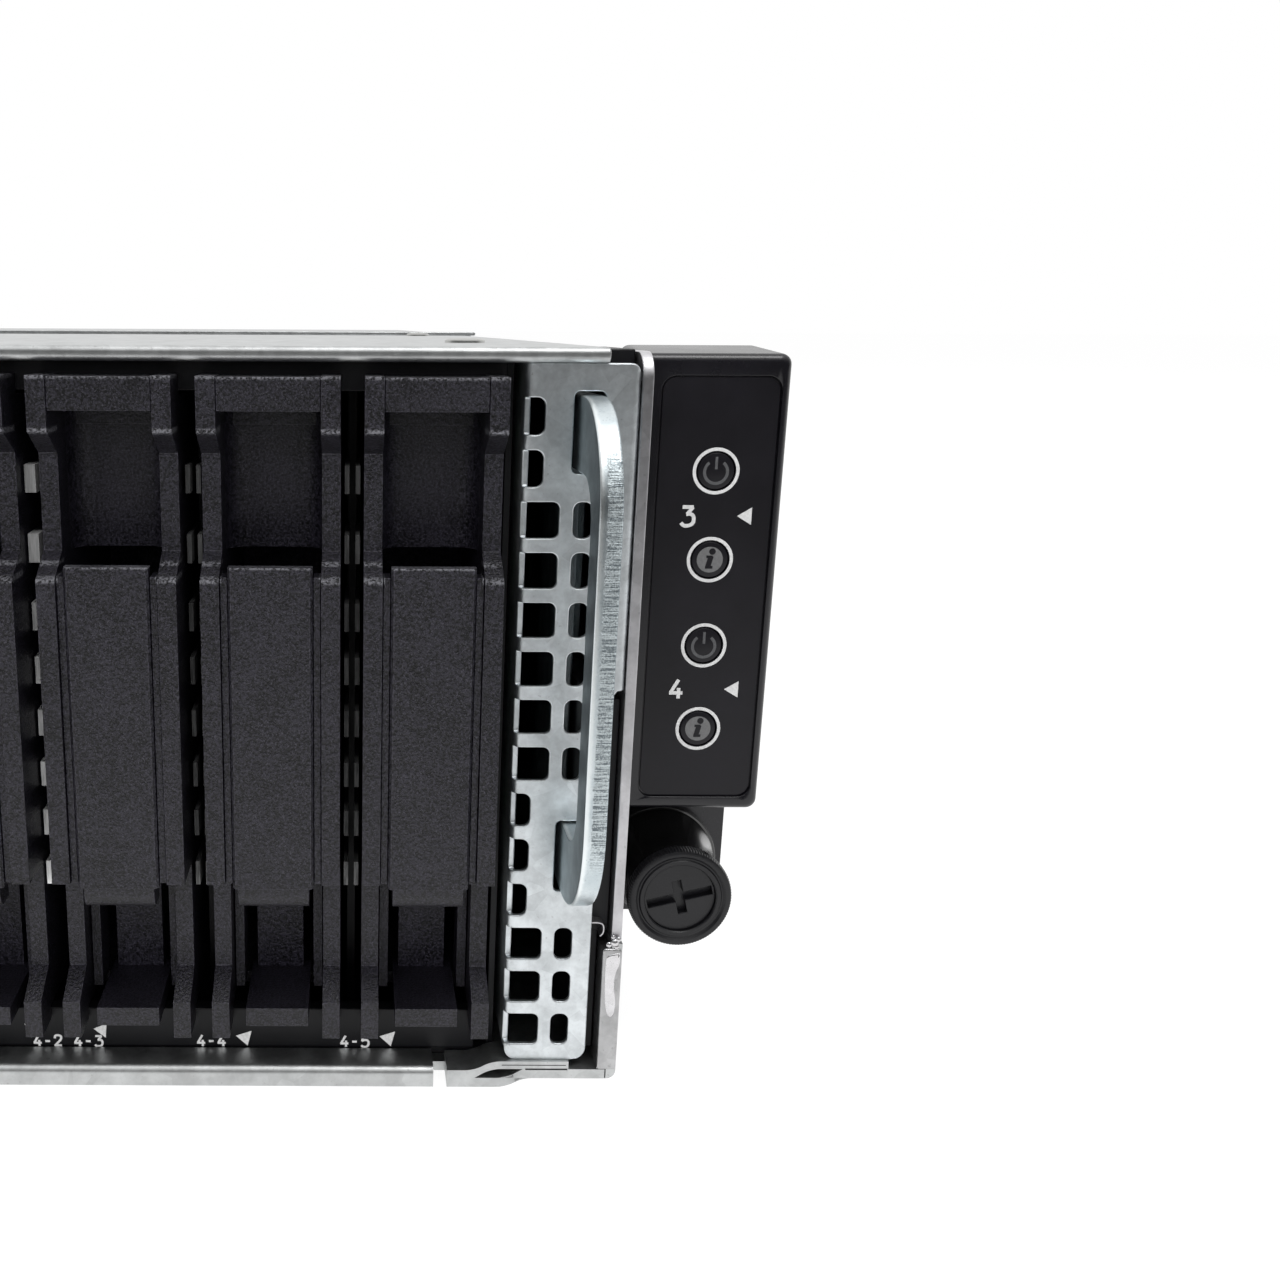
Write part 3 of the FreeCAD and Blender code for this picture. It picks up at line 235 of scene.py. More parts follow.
def finish(name, mesh, looks, slot, body="enclosure", bevel=0.0, segments=2, worn=-1, swaps=(), angle=32.0):
    """Object with its finishes, eased edges, body and the CAD nodes it stands for hidden; slot is not used."""
    piece = placed(name, mesh)
    for look in looks if isinstance(looks, list) else [looks]:
        mesh.materials.append(look)
    mesh.polygons.foreach_set("use_smooth", np.ones(len(mesh.polygons), bool))
    mesh.set_sharp_from_angle(angle=math.radians(angle))
    if bevel:
        ease = rounded(piece, "edges", bevel, segments, "ANGLE")
        ease.angle_limit = math.radians(angle)
        ease.material = worn
    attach(piece, body)
    if swaps:
        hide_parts(*swaps)
    return piece


def put(name, shapes, looks, slot, body="enclosure", **edges):
    """Piece made of shapes."""
    return finish(name, gather(name, shapes), looks, slot, body, **edges)


def sheet(name, shapes, looks, slot, body="enclosure", **edges):
    """Piece made of shapes whose edges meet, with the doubles merged."""
    mesh = gather(name, shapes)
    with edited(mesh) as work:
        bmesh.ops.remove_doubles(work, verts=work.verts, dist=2e-6)
        bmesh.ops.recalc_face_normals(work, faces=work.faces)
    return finish(name, mesh, looks, slot, body, angle=24.0, **edges)


def level_faces(piece):
    """Shading that follows the large faces."""
    even = piece.modifiers.new("even", "WEIGHTED_NORMAL")
    even.keep_sharp = True
    even.weight = 80


def merged(node):
    """Copy of a CAD node's mesh with its doubles merged and its flat triangles dissolved."""
    mesh = NODES[node].data.copy()
    with edited(mesh) as work:
        bmesh.ops.remove_doubles(work, verts=work.verts, dist=1e-6)
        bmesh.ops.dissolve_limit(work, angle_limit=math.radians(0.6), verts=work.verts, edges=work.edges)
    mesh.materials.clear()
    return mesh


def islands(mesh):
    """For each separate shell: its faces, and its lowest and highest corner in millimetres."""
    found = []
    with edited(mesh) as work:
        seen = np.zeros(len(work.faces), bool)
        for first in work.faces:
            if seen[first.index]:
                continue
            seen[first.index] = True
            pile, shell = [first], []
            while pile:
                shell.append(pile.pop())
                for other in [f for edge in shell[-1].edges for f in edge.link_faces]:
                    if not seen[other.index]:
                        seen[other.index] = True
                        pile.append(other)
            points = np.array([v.co for f in shell for v in f.verts]) / MM - ORIGIN
            found.append(([f.index for f in shell], points.min(0), points.max(0)))
    return found


def eased(name, node, looks, slot, body="enclosure", bevel=0.25, choose=None, refine=None, bends=None, turn=1.0):
    """Softened copy of a CAD node.

    choose gives a shell's finish from its corners, refine gives a face's from its centre and the finish so far,
    and bends picks the lines that are rounded by turn.
    """
    mesh = merged(node)
    index = np.zeros(len(mesh.polygons), np.int32)
    for faces, low, high in islands(mesh) if choose else []:
        index[faces] = choose(low, high)
    if refine:
        index = refine(values(mesh.polygons, "center") / MM - ORIGIN, index)
    mesh.polygons.foreach_set("material_index", index)
    if bends:
        with edited(mesh) as work:
            weight = work.edges.layers.float.new("bevel_weight_edge")
            for edge in work.edges:
                edge[weight] = float(bends(edge))
    piece = finish(name, mesh, looks, slot, body, bevel=bevel, swaps=(node,))
    if bends:
        rounded(piece, "bends", turn, 5, "WEIGHT")
        piece.modifiers.move(len(piece.modifiers) - 1, 0)
    return piece


# Finishes: shader sums written as Python sums

def operator(operation, swap=False):
    """Method that adds one Math node."""
    def method(self, other=0.0):
        a, b = (other, self) if swap else (self, other)
        return self.paint.node("Math", {0: a, 1: b}, operation=operation)
    return method


class Wire:
    """A shader value; each operator adds one Math node."""

    def __init__(self, paint, socket):
        self.paint, self.socket = paint, socket

    __add__, __radd__ = operator("ADD"), operator("ADD", True)
    __sub__, __rsub__ = operator("SUBTRACT"), operator("SUBTRACT", True)
    __mul__, __rmul__ = operator("MULTIPLY"), operator("MULTIPLY", True)
    __gt__, __lt__ = operator("GREATER_THAN"), operator("LESS_THAN")
    most, size = operator("MAXIMUM"), operator("ABSOLUTE")


class Paint:
    """One finish: a node tree, and the ways to add to it."""

    def __init__(self, name, owner=None):
        self.owner = owner or bpy.data.materials.new(name)
        self.owner.use_nodes = True
        self.tree = self.owner.node_tree
        self.tree.nodes.clear()

    def node(self, kind, sockets=None, out=0, **settings):
        """Any shader node: its kind, its sockets' values or links, and its settings; gives one output."""
        made = self.tree.nodes.new("ShaderNode" + kind)
        for key, value in settings.items():
            setattr(made, key, value)
        for key, value in (sockets or {}).items():
            self.set(made.inputs[key], value)
        return Wire(self, made.outputs[out]) if made.outputs else None

    def set(self, socket, value):
        """Link, colour or plain value for a socket; one number for a colour is a grey."""
        if isinstance(value, Wire):
            self.tree.links.new(value.socket, socket)
        elif socket.type == "RGBA":
            socket.default_value = (*np.broadcast_to(value, 3).tolist(), 1)
        else:
            socket.default_value = value

    def place(self, scale=(1, 1, 1)):
        """Object coordinates, stretched along the axes."""
        plain = self.node("TexCoord", out="Object")
        return plain if scale == (1, 1, 1) else self.node("Mapping", {"Vector": plain, "Scale": scale})

    def axis(self, index):
        """One object coordinate in millimetres, Y from the tray's front edge."""
        value = self.node("SeparateXYZ", {0: self.place()}, index) * (1 / MM)
        return value - FRONT if index == 1 else value

    def noise(self, size, detail=3.0, rough=0.55, scale=(1, 1, 1)):
        """Soft noise from 0 to 1 with blotches of a size in millimetres."""
        return self.node("TexNoise", {"Vector": self.place(scale), "Scale": 1 / (size * MM), "Detail": detail,
                                      "Roughness": rough})

    def ray(self, kind):
        """1 where a ray is of a kind, else 0."""
        return self.node("LightPath", out="Is %s Ray" % kind)

    def step(self, value, low, high):
        """Smooth rise from 0 at low to 1 at high."""
        return self.node("MapRange", {"Value": value, "From Min": low, "From Max": high},
                         interpolation_type="SMOOTHSTEP", clamp=True)

    def mix(self, share, a, b):
        """Colour between two colours."""
        return self.node("Mix", {0: share, 6: a, 7: b}, 2, data_type="RGBA")

    def bump(self, height, depth, strength=1.0):
        """Normal tilted by a height of 0 to 1 that stands for a depth in millimetres."""
        return self.node("Bump", {"Height": height, "Distance": depth * MM, "Strength": strength})

    def shade(self, **sockets):
        """Principled surface as the result; names use _ for a space."""
        surface = self.node("BsdfPrincipled", {k.replace("_", " "): v for k, v in sockets.items()})
        self.node("OutputMaterial", {"Surface": surface})
        return self.owner


def zinc_sheet(name, light, dark, rough, tint):
    """Galvanised sheet: cloudy spangle, fine grain and small dull specks."""
    p = Paint(name)
    tint = np.array(tint)
    spangle = p.node("TexVoronoi", {"Vector": p.place(), "Scale": 1 / (2.6 * MM)}, "Color")
    grey = p.node("SeparateColor", {0: spangle})
    cloud = p.noise(3.2, 4.0, 0.6)
    fine = p.noise(0.7, 3.0, 0.6)
    speck = p.step(p.noise(0.5, 2.0, 0.5), 0.66, 0.74)
    share = cloud * 0.75 + grey * 0.14 + fine * 0.25
    tone = p.mix(p.step(share, 0.32, 0.85), dark * tint, light * tint)
    tone = p.mix(speck * 0.35, tone, dark * 0.6)
    return p.shade(Base_Color=tone, Metallic=1.0, Roughness=rough + fine * 0.14 - cloud * 0.08,
                   Normal=p.bump(fine + cloud * 0.5, 0.02, 0.5))


def handle_zinc():
    """Plated plate with blue-grey faces; its sheared front edge is bright, smooth on one side, scored on the other."""
    p = Paint("handle_zinc")
    x, y, z = p.axis(0).size(), p.axis(1), p.axis(2)
    score = p.noise(0.11, 3.0, 0.65, (0.05, 0.05, 1.0))
    torn = p.noise(0.6, 3.0, 0.6)
    cloud = p.noise(3.0, 4.0, 0.6)
    fleck = p.noise(0.2, 3.0, 0.7)
    ragged = z + torn * 3
    scored = p.step(x + torn * 0.6, 217.4, 217.6) * p.step(ragged, 33.0, 38.0) * (1 - p.step(ragged, 76.5, 79.0)) \
        * (y < -7.0)
    face = (x < HANDLE_X[0] + 0.08).most(x > HANDLE_X[1] - 0.08)
    patch = p.step(cloud, 0.3, 0.75)
    edge_tone = p.mix(p.step(x + torn * 0.3, 216.75, 217.2), (0.88, 0.93, 0.94),
                      p.mix(patch, (0.54, 0.61, 0.64), (0.74, 0.80, 0.82)))
    edge_tone = p.mix(p.step(fleck, 0.6, 0.68) * (x > 216.8) * 0.6, edge_tone, (0.30, 0.35, 0.37))
    face_tone = p.mix(patch, (0.34, 0.41, 0.44), (0.52, 0.60, 0.63))
    tone = p.mix(face, p.mix(scored, edge_tone, (0.70, 0.77, 0.79)), face_tone)
    tone = p.mix(scored * p.step(score * 0.6 + fleck * 0.4, 0.45, 0.57) * 0.9, tone, (0.15, 0.18, 0.20))
    return p.shade(Base_Color=tone, Metallic=1.0, Roughness=0.27 + cloud * 0.1 + scored * 0.12 + face * 0.12,
                   Normal=p.bump(score * scored + fleck * 0.3, 0.08, 0.8))


def moulded_black(name, edge=0.0):
    """Spark-textured plastic: speckled grain; a paler copy for the edges, partly wear and partly painted highlight;
    pale speckled bands along the upper edges, partly scuffs from handling and partly painted highlight where those
    edges catch light.
    """
    p = Paint(name)
    y, z = p.axis(1), p.axis(2)
    grain = p.noise(0.3, 3.0, 0.65)
    spark = p.step(p.noise(0.17, 1.0, 0.5), 0.58, 0.7)
    broad = p.noise(6.0, 3.0)
    scuff_and_glint = p.noise(0.3, 3.0, 0.7)
    along = p.node("Math", {0: p.axis(0), 1: BAY_PITCH}, operation="FLOORED_MODULO")
    rail = (along - BAY_PITCH / 2).size() > 5.2
    # Bands along the upper edges at 83, 77.3, 61.6 and 63 mm, speckled by noise: partly scuffs, partly painted
    # highlight where these up-facing edges catch light.
    rubbed_and_lit = 0.0
    for height, reach, where in ((83.0, 0.5, 1.0), (77.3, 0.45, rail), (61.6, 0.5, rail), (63.0, 0.3, 1.0)):
        rubbed_and_lit = (1 - p.step((z - height).size(), reach * 0.3, reach)) * where + rubbed_and_lit
    worn = rubbed_and_lit * p.step(scuff_and_glint + broad * 0.3, 0.56, 0.74) * (y < 3.0)
    tone = p.mix(p.step(grain * 0.85 + broad * 0.15, 0.40, 0.62), (0.0003, 0.0002, 0.0006), (0.0120, 0.0110, 0.0165))
    # The edge copy pales its bevel faces by speckled noise: partly wear, partly painted highlight on the edges.
    tone = p.mix(spark * 0.6 + edge * p.step(scuff_and_glint, 0.35, 0.7), tone, (0.036, 0.034, 0.045))
    tone = p.mix(worn * 0.6, tone, (0.15, 0.15, 0.165))
    return p.shade(Base_Color=tone, Roughness=0.34 + broad * 0.12, Specular_IOR_Level=0.46,
                   Normal=p.bump(grain, 0.12))


def plain_black(name, tone, rough, grain=0.3, depth=0.012, coat=0.0, level=0.45):
    """Even plastic or paint with a trace of grain and faint handling marks."""
    p = Paint(name)
    tone = np.array(tone)
    fine = p.noise(grain, 2.0)
    broad = p.noise(9.0, 4.0)
    return p.shade(Base_Color=p.mix(p.step(broad, 0.3, 0.75), tone * 0.8, tone * 1.25),
                   Roughness=rough + (broad - 0.5) * 0.14, Specular_IOR_Level=level, Coat_Weight=coat,
                   Coat_Roughness=0.08, Normal=p.bump(fine, depth, 0.7))


def rung_zinc(name, cut_dark, cut_light, side):
    """Plated strips: drawn lines up the cut front edges, darker toward the top; the sides fade to near black a little
    way back, painted shade inside the narrow gaps.
    """
    p = Paint(name)
    y = p.axis(1)
    streak = p.noise(0.3, 3.0, 0.6, (1.0, 1.0, 0.1))
    front = p.mix(p.step(streak, 0.3, 0.7), cut_dark, cut_light)
    front = p.mix(p.step(p.axis(2), 28.0, 74.0) * 0.8, front, 0.02)
    # Sides go near black from 6.6 to 8.3 mm back: painted shade deep in the gaps.
    shaded_flank = p.mix(p.step(y, 6.6, 8.3), side, (0.008, 0.008, 0.009))
    return p.shade(Base_Color=p.mix(y < RUNG_FRONT + 0.06, shaded_flank, front), Roughness=0.45 + streak * 0.1)


def print_ink(name, tone):
    """Screen-printed ink with slightly uneven cover."""
    p = Paint(name)
    tone = np.array(tone)
    return p.shade(Base_Color=p.mix(p.step(p.noise(0.25, 2.0), 0.3, 0.7), tone * 0.82, tone), Roughness=0.5)


def circuit_green():
    """Solder-masked board: copper runs under green, with small pale pads."""
    p = Paint("circuit_green")
    runs = p.node("TexBrick", {"Vector": p.place(), "Scale": 260.0, "Mortar Size": 0.06, "Mortar": (0.03, 0.15, 0.07),
                               "Color1": (0.012, 0.075, 0.035), "Color2": (0.015, 0.09, 0.045)}, offset=0.3)
    pads = p.node("TexVoronoi", {"Vector": p.place(), "Scale": 420.0}, "Distance")
    return p.shade(Base_Color=p.mix((1 - p.step(pads, 0.16, 0.2)) * 0.7, runs, (0.5, 0.48, 0.36)), Roughness=0.36)


def brushed(name, tone, rough=0.32):
    """Bare metal drawn along X."""
    p = Paint(name)
    tone = np.array(tone)
    lines = p.noise(0.25, 3.0, 0.6, (0.03, 1, 1))
    return p.shade(Base_Color=p.mix(lines, tone * 0.8, tone), Metallic=1.0, Roughness=rough + lines * 0.12,
                   Normal=p.bump(lines, 0.01, 0.5))


ZINC = zinc_sheet("zinc_sheet", 0.66, 0.46, 0.40, (1.0, 1.02, 1.02))
GRILLE_ZINC = zinc_sheet("grille_zinc", 0.90, 0.57, 0.40, (0.97, 1.02, 1.045))
WALL_ZINC = zinc_sheet("wall_zinc", 0.58, 0.38, 0.38, (1.0, 1.0, 1.01))
LEG_ZINC = zinc_sheet("leg_zinc", 0.70, 0.48, 0.36, (1.01, 1.0, 1.03))
POLISHED = zinc_sheet("polished_zinc", 0.80, 0.60, 0.24, (1.01, 1.0, 1.02))
HANDLE = handle_zinc()
# Lit and shaded copies of one zinc: bright rungs on the middle dividers, near-black ones on the rest, painted light and
# shade for how much light reaches each gap.
RUNG_LIT = rung_zinc("rung_zinc", 0.50, 0.80, 0.5)
RUNG_SHADED = rung_zinc("rung_shaded", 0.012, 0.09, 0.10)
MOULDED = moulded_black("moulded_black")
# Paler copy for the bevel faces: painted edge highlight, partly wear.
MOULDED_WORN_LIT_EDGE = moulded_black("moulded_worn_lit_edge", 0.55)
RAIL_BLACK = plain_black("rail_black", (0.004, 0.004, 0.0048), 0.42, level=0.28)
SATIN = plain_black("satin_black", (0.0036, 0.0033, 0.0048), 0.26, 0.25, level=0.5)
OVERLAY = plain_black("overlay_film", (0.0042, 0.0038, 0.0054), 0.36, 0.18, 0.014, level=0.3)
GLOSS = plain_black("gloss_black", 0.004, 0.14, 0.5, 0.003, 0.5, 0.7)
KNOB_FACE = plain_black("knob_face", (0.0052, 0.0052, 0.0062), 0.34, 0.3, 0.03, level=0.4)
PRINT = print_ink("print_white", 0.56)
PANEL_PRINT = print_ink("panel_print", 0.45)
ICON = print_ink("icon_grey", (0.095, 0.095, 0.097))
SIGN = print_ink("sign_grey", (0.052, 0.053, 0.056))
BOARD = circuit_green()
ALUMINIUM = brushed("cooler_aluminium", (0.72, 0.73, 0.74))
CONTACT = brushed("port_metal", (0.62, 0.62, 0.60), 0.28)
TOUCH = plain_black("touch_blue", (0.035, 0.12, 0.30), 0.4)
GOLD = brushed("contact_gold", (0.75, 0.55, 0.22), 0.25)


# Drive blanks

def bay_left(index):
    """Left edge of a bay's blank."""
    return (index - BAYS / 2) * BAY_PITCH + (BAY_PITCH - BAY_WIDTH) / 2


def corner_fillet(x, y, radius, z0, z1, side):
    """Hollow quarter round in a corner, carried up Z.

    The corner point, then the arc (x + s r (1 - sin t), y - r (1 - cos t)).
    """
    t = np.linspace(0, math.pi / 2, 7)
    hollow = np.stack([x + side * radius * (1 - np.sin(t)), y - radius * (1 - np.cos(t))], 1)
    return prism(np.concatenate([[(x - side * 0.2, y + 0.2)], hollow]), 2, z0, z1)


def blank_shapes():
    """Moulded blank: two rails with waist and foot, bar, pocket web, latch panel with lips, tip, tongue and block."""
    rail = [(-1.8, 83.0), (-1.8, 77.2), (2.6, 74.7), (2.6, 64.1), (-1.8, 61.6), (-1.8, 26.6), (4.2, 26.6), (4.5, 26.3),
            (4.5, 13.4), (0.0, 10.9), (0.0, 6.3), (4.4, 6.3), (4.4, 7.9), (93.0, 7.9), (93.0, 80.8), (4.4, 80.8),
            (4.4, 83.0)]
    tip = [(-1.55, 26.6), (-1.55, 25.2), (-1.2, 24.1), (-0.5, 23.5), (2.0, 23.5), (2.0, 26.6)]
    tongue = [(-0.6, 25.2), (-0.6, 23.8), (8.6, 23.8), (9.9, 23.0), (10.5, 21.6), (10.5, 7.9), (12.0, 7.9),
              (12.0, 25.2)]
    panel = [(2.95, -1.5), (3.25, -1.8), (11.75, -1.8), (12.05, -1.5), (12.05, -0.3), (2.95, -0.3)]
    return [
        prism(rail, 0, 0.0, 2.05),
        prism(rail, 0, 12.95, BAY_WIDTH),
        block(2.12, 12.88, -1.66, 4.4, 79.4, 82.9),
        block(1.9, 13.1, 4.4, 11.2, 79.4, 80.8),
        block(1.9, 13.1, 9.0, 11.2, 77.3, 80.8),
        block(1.9, 13.1, 9.7, 11.2, 63.4, 80.8),
        corner_fillet(2.05, 9.72, 2.6, 63.4, 80.8, 1),
        corner_fillet(12.95, 9.72, 2.6, 63.4, 80.8, -1),
        prism(panel, 2, 26.1, 63.0),
        block(2.12, 2.88, -1.3, 1.4, 26.6, 61.9),
        block(12.12, 12.88, -1.3, 1.4, 26.6, 61.9),
        prism(tip, 0, 3.5, 11.5),
        prism(tongue, 0, 4.65, 10.35),
        block(4.0, 11.3, 0.0, 12.0, 7.9, 10.2),
        block(2.0, 13.0, 10.5, 26.0, 7.9, 9.4),
        block(2.2, 3.3, 7.5, 12.0, 9.0, 23.5),
        block(11.7, 12.8, 7.5, 12.0, 9.0, 23.5),
        block(1.9, 13.1, 30.0, 31.5, 7.9, 80.8),
    ]


BLANK = blank_shapes()
for bay in range(BAYS):
    node = "blank_%d_%d" % (bay // NODE_BAYS + 1, bay % NODE_BAYS)
    put(node + "_moulding", moved(BLANK, bay_left(bay)), [MOULDED, MOULDED_WORN_LIT_EDGE], PLASTIC, node, bevel=0.16, worn=1,
        swaps=(node,))

# Cage round the bays: sleeve, dark sill and head, ladder-edged dividers

SLEEVE = (-209.95, 209.95, 1.2, 85.2)
SLEEVE_FRONT = 5.4
CAGE_BACK = 112.0
RUNGS = ((23.62, 26.56), (29.85, 32.97), (35.93, 38.88), (42.03, 45.16), (48.25, 51.44), (54.48, 57.71),
         (62.26, 65.52), (70.07, 73.16))
RUNG_BACK = 14.0
DIVIDERS = [(i - BAYS / 2) * BAY_PITCH for i in range(1, BAYS)]
MIDDLES = DIVIDERS[2::NODE_BAYS]
SILL_X = 207.55
SILL_FACE, SILL_BACK = 4.7, 6.7
SILL_OUTLINE = tablet(-SILL_X, SILL_X, 2.4, 7.5, (1.2, 1.2, 0.2, 0.2))


def ladder_rungs(x, thick):
    """Rungs of one plate: short blocks at the divider's front."""
    return [block(x - thick / 2, x + thick / 2, RUNG_FRONT, RUNG_BACK + 0.2, low, high) for low, high in RUNGS]


for name, look, slot, bevel, shapes in (
        # The steel sleeve takes the black finish: painted shade, for steel that stands in shadow behind the blanks.
        ("cage_sleeve", RAIL_BLACK, PLASTIC, 0.1,
         [tube(corners(*SLEEVE), corners(*grown(SLEEVE, -0.8)), SLEEVE_FRONT, CAGE_BACK)]),
        ("cage_dividers", RAIL_BLACK, PLASTIC, 0.1,
         [block(x - 0.55, x + 0.55, RUNG_BACK, CAGE_BACK, 2.0, 84.4) for x in DIVIDERS]),
        ("middle_divider_rungs", RUNG_LIT, STEEL, 0.0, [r for x in MIDDLES for r in ladder_rungs(x - 0.4, 1.2)]),
        ("divider_rungs", RUNG_SHADED, STEEL, 0.0,
         [r for x in DIVIDERS if x not in MIDDLES for s in (-1, 1) for r in ladder_rungs(x + s * 0.6, 0.5)]),
        ("label_sill", RAIL_BLACK, PLASTIC, 0.15,
         [prism(SILL_OUTLINE, 1, SILL_FACE, SILL_BACK), block(-SILL_X, SILL_X, SLEEVE_FRONT, SILL_BACK, 2.0, 2.4)]),
        ("head_rail", RAIL_BLACK, PLASTIC, 0.15, [block(-209.15, 209.15, SILL_FACE, SILL_BACK, 81.2, 84.4)])):
    put(name, shapes, look, slot, bevel=bevel, swaps=("drive_cage",))

# Generic printed marks: strokes of each sign in a cell one high

GLYPHS = {
    "0": [[(0.3, 1), (0.06, 0.96), (0.03, 0.5), (0.06, 0.04), (0.3, 0), (0.54, 0.04), (0.57, 0.5), (0.54, 0.96),
           (0.3, 1), (0.26, 0.99)]],
    "1": [[(0.1, 0.76), (0.34, 0.98)], [(0.34, 1.02), (0.34, 0)]],
    "2": [[(0.04, 0.72), (0.06, 0.98), (0.32, 1.04), (0.6, 0.96), (0.58, 0.62), (0.34, 0.36), (0.06, 0.06)],
          [(-0.02, 0.05), (0.62, 0.05)]],
    "3": [[(0.04, 0.96), (0.6, 0.96)], [(0.57, 0.96), (0.29, 0.58)],
          [(0.24, 0.58), (0.44, 0.62), (0.64, 0.5), (0.64, 0.12), (0.4, -0.02), (0.14, -0.02), (0.0, 0.14)]],
    "4": [[(0.42, 1.02), (0.03, 0.3)], [(-0.04, 0.29), (0.66, 0.29)], [(0.45, 0.56), (0.45, -0.02)]],
    "5": [[(0.1, 0.96), (0.58, 0.96)], [(0.14, 0.98), (0.08, 0.5)],
          [(0.06, 0.52), (0.26, 0.64), (0.6, 0.6), (0.66, 0.24), (0.5, -0.02), (0.2, -0.04), (0.0, 0.1)]],
    "-": [[(0.1, 0.46), (0.5, 0.46)]],
}
GLYPH_ADVANCE = 0.88
STROKE_LIFT = 0.004


def lettering(text, x, z, height, width, y0, y1, wide=1.0):
    """Digits as soft strokes, set from the lower left; each stroke lies a hair in front of the one before."""
    marks = []
    for k, sign in enumerate(text):
        corner = (x + k * GLYPH_ADVANCE * height, z)
        for order, path in enumerate(GLYPHS[sign]):
            p = softened(path, 3) if len(path) > 2 else np.asarray(path, float)
            marks.append(stroke(p * (height * wide, height) + corner, width, y0 - STROKE_LIFT * order, y1))
    return marks


def bay_marks(index):
    """Bay number and pointer on the sill, below or beside the blank's foot."""
    number, place = divmod(index, NODE_BAYS)
    if place <= 2:
        start, pointer, lift = 12.6, [(11.55, 5.35), (12.5, 5.0), (12.3, 3.5)], 0.0
    elif place == 3:
        start, pointer, lift = 0.05, [(2.45, 4.7), (4.05, 5.4), (3.9, 3.5)], 0.0
    else:
        start, pointer, lift = -2.42, [(2.3, 3.85), (4.2, 4.5), (3.7, 2.5)], 0.1
    left = bay_left(index)
    y = (SILL_FACE - 0.03, SILL_FACE + 0.05)
    marks = lettering("%d-%d" % (number + 1, place), left + start, 2.35 + lift, 1.42, 0.27, *y)
    return marks + moved([prism(pointer, 1, *y)], left)


put("bay_numbers", [m for i in range(BAYS) for m in bay_marks(i)], PRINT, PLASTIC)

# Perforated intake grille, folded at both sides

GRILLE_X0, GRILLE_X1 = 210.6, 222.75
GRILLE_FACE = 0.5
GRILLE_THICK = 0.7
GRILLE_BEND = 0.85
GRILLE_RIM = 0.13
GRILLE_ROWS, ROW_PITCH, HOLE_HEIGHT = 14, 5.5, 3.9
SHORT_ROWS = (0, 1, 8, 9, 10)
BEND_STEPS = 5
BEND_RUN = GRILLE_BEND * math.pi / 2
FLAT_RUN = GRILLE_X1 - GRILLE_X0 - 2 * GRILLE_BEND
LEFT_END = -BEND_RUN - (14.0 - GRILLE_BEND)
RIGHT_END = FLAT_RUN + BEND_RUN + (21.0 - GRILLE_BEND)
BEND_LINES = BEND_RUN * np.arange(BEND_STEPS + 1) / BEND_STEPS
COLUMNS = np.sort(np.concatenate([-BEND_LINES, FLAT_RUN + BEND_LINES]))


def folded(flat, depth):
    """Flat pattern (s, z) folded round both bends: straight run, quarter turn of radius R - depth, straight flange."""
    s, z = flat[:, 0], flat[:, 1]
    reach = GRILLE_BEND - depth
    over = np.clip(s - FLAT_RUN, 0, None)
    under = np.clip(-s, 0, None)
    past = over + under
    turn = np.minimum(past / GRILLE_BEND, math.pi / 2)
    straight = np.clip(past - BEND_RUN, 0, None)
    side = np.sign(over - under)
    x = GRILLE_X0 + GRILLE_BEND + np.clip(s, 0, FLAT_RUN) + side * reach * np.sin(turn)
    y = GRILLE_FACE + GRILLE_BEND - reach * np.cos(turn) + straight
    return np.stack([x, y, z], 1)


def on_front(x):
    """Distance along the flat pattern of a place on the front."""
    return x - GRILLE_X0 - GRILLE_BEND


def with_columns(path):
    """Adds points where level edges of a closed path cross the bend lines."""
    path = np.asarray(path, float)
    out = []
    for a, b in zip(path, np.roll(path, -1, 0)):
        out.append(a)
        if abs(a[1] - b[1]) < 1e-9:
            inside = COLUMNS[(COLUMNS > min(a[0], b[0]) + 1e-6) & (COLUMNS < max(a[0], b[0]) - 1e-6)]
            out += [(s, a[1]) for s in (inside if b[0] > a[0] else inside[::-1])]
    return np.asarray(out)


def shifted(path, gap):
    """Closed path moved inward by a gap along its mitred normals; a counter-clockwise path shrinks."""
    d = np.roll(path, -1, 0) - path
    d /= np.linalg.norm(d, axis=1)[:, None]
    e = np.roll(d, 1, 0)
    n = np.stack([-(d + e)[:, 1], (d + e)[:, 0]], 1)
    n /= np.linalg.norm(n, axis=1)[:, None]
    reach = gap / np.maximum((n * np.stack([-d[:, 1], d[:, 0]], 1)).sum(1), 0.4)
    return path + n * reach[:, None]


def within(points, path):
    """True for points inside a closed path: an odd number of its edges lie to the right."""
    a, b = path, np.roll(path, -1, 0)
    x, y = points[:, None, 0], points[:, None, 1]
    spans = (a[None, :, 1] > y) != (b[None, :, 1] > y)
    rise = np.where(b[:, 1] == a[:, 1], 1e-12, b[:, 1] - a[:, 1])
    cross = a[None, :, 0] + (y - a[None, :, 1]) * ((b[:, 0] - a[:, 0]) / rise)[None]
    return ((spans & (x < cross)).sum(1) % 2) == 1


def clear_of(points, outline, holes):
    """True for points inside an outline and in none of its holes."""
    keep = within(points, outline)
    for hole in holes:
        keep &= ~within(points, hole)
    return keep


def grille_outline():
    """Sheet's edge: rounded lower corners, a narrower foot with a slanted step, and flanges above and beside it."""
    foot = on_front(220.4)
    return with_columns(np.concatenate([
        arc(0.6, 4.9, 1.5, 180, 270), arc(foot - 1.5, 4.9, 1.5, 270, 360), [(foot, 46.9), (FLAT_RUN, 48.9)],
        [(RIGHT_END, 48.9), (RIGHT_END, 82.7)], [(FLAT_RUN + 0.9, 82.7)], arc(FLAT_RUN - 0.4, 82.9, 1.5, 8, 90),
        [(LEFT_END, 84.4), (LEFT_END, 4.9)]]))


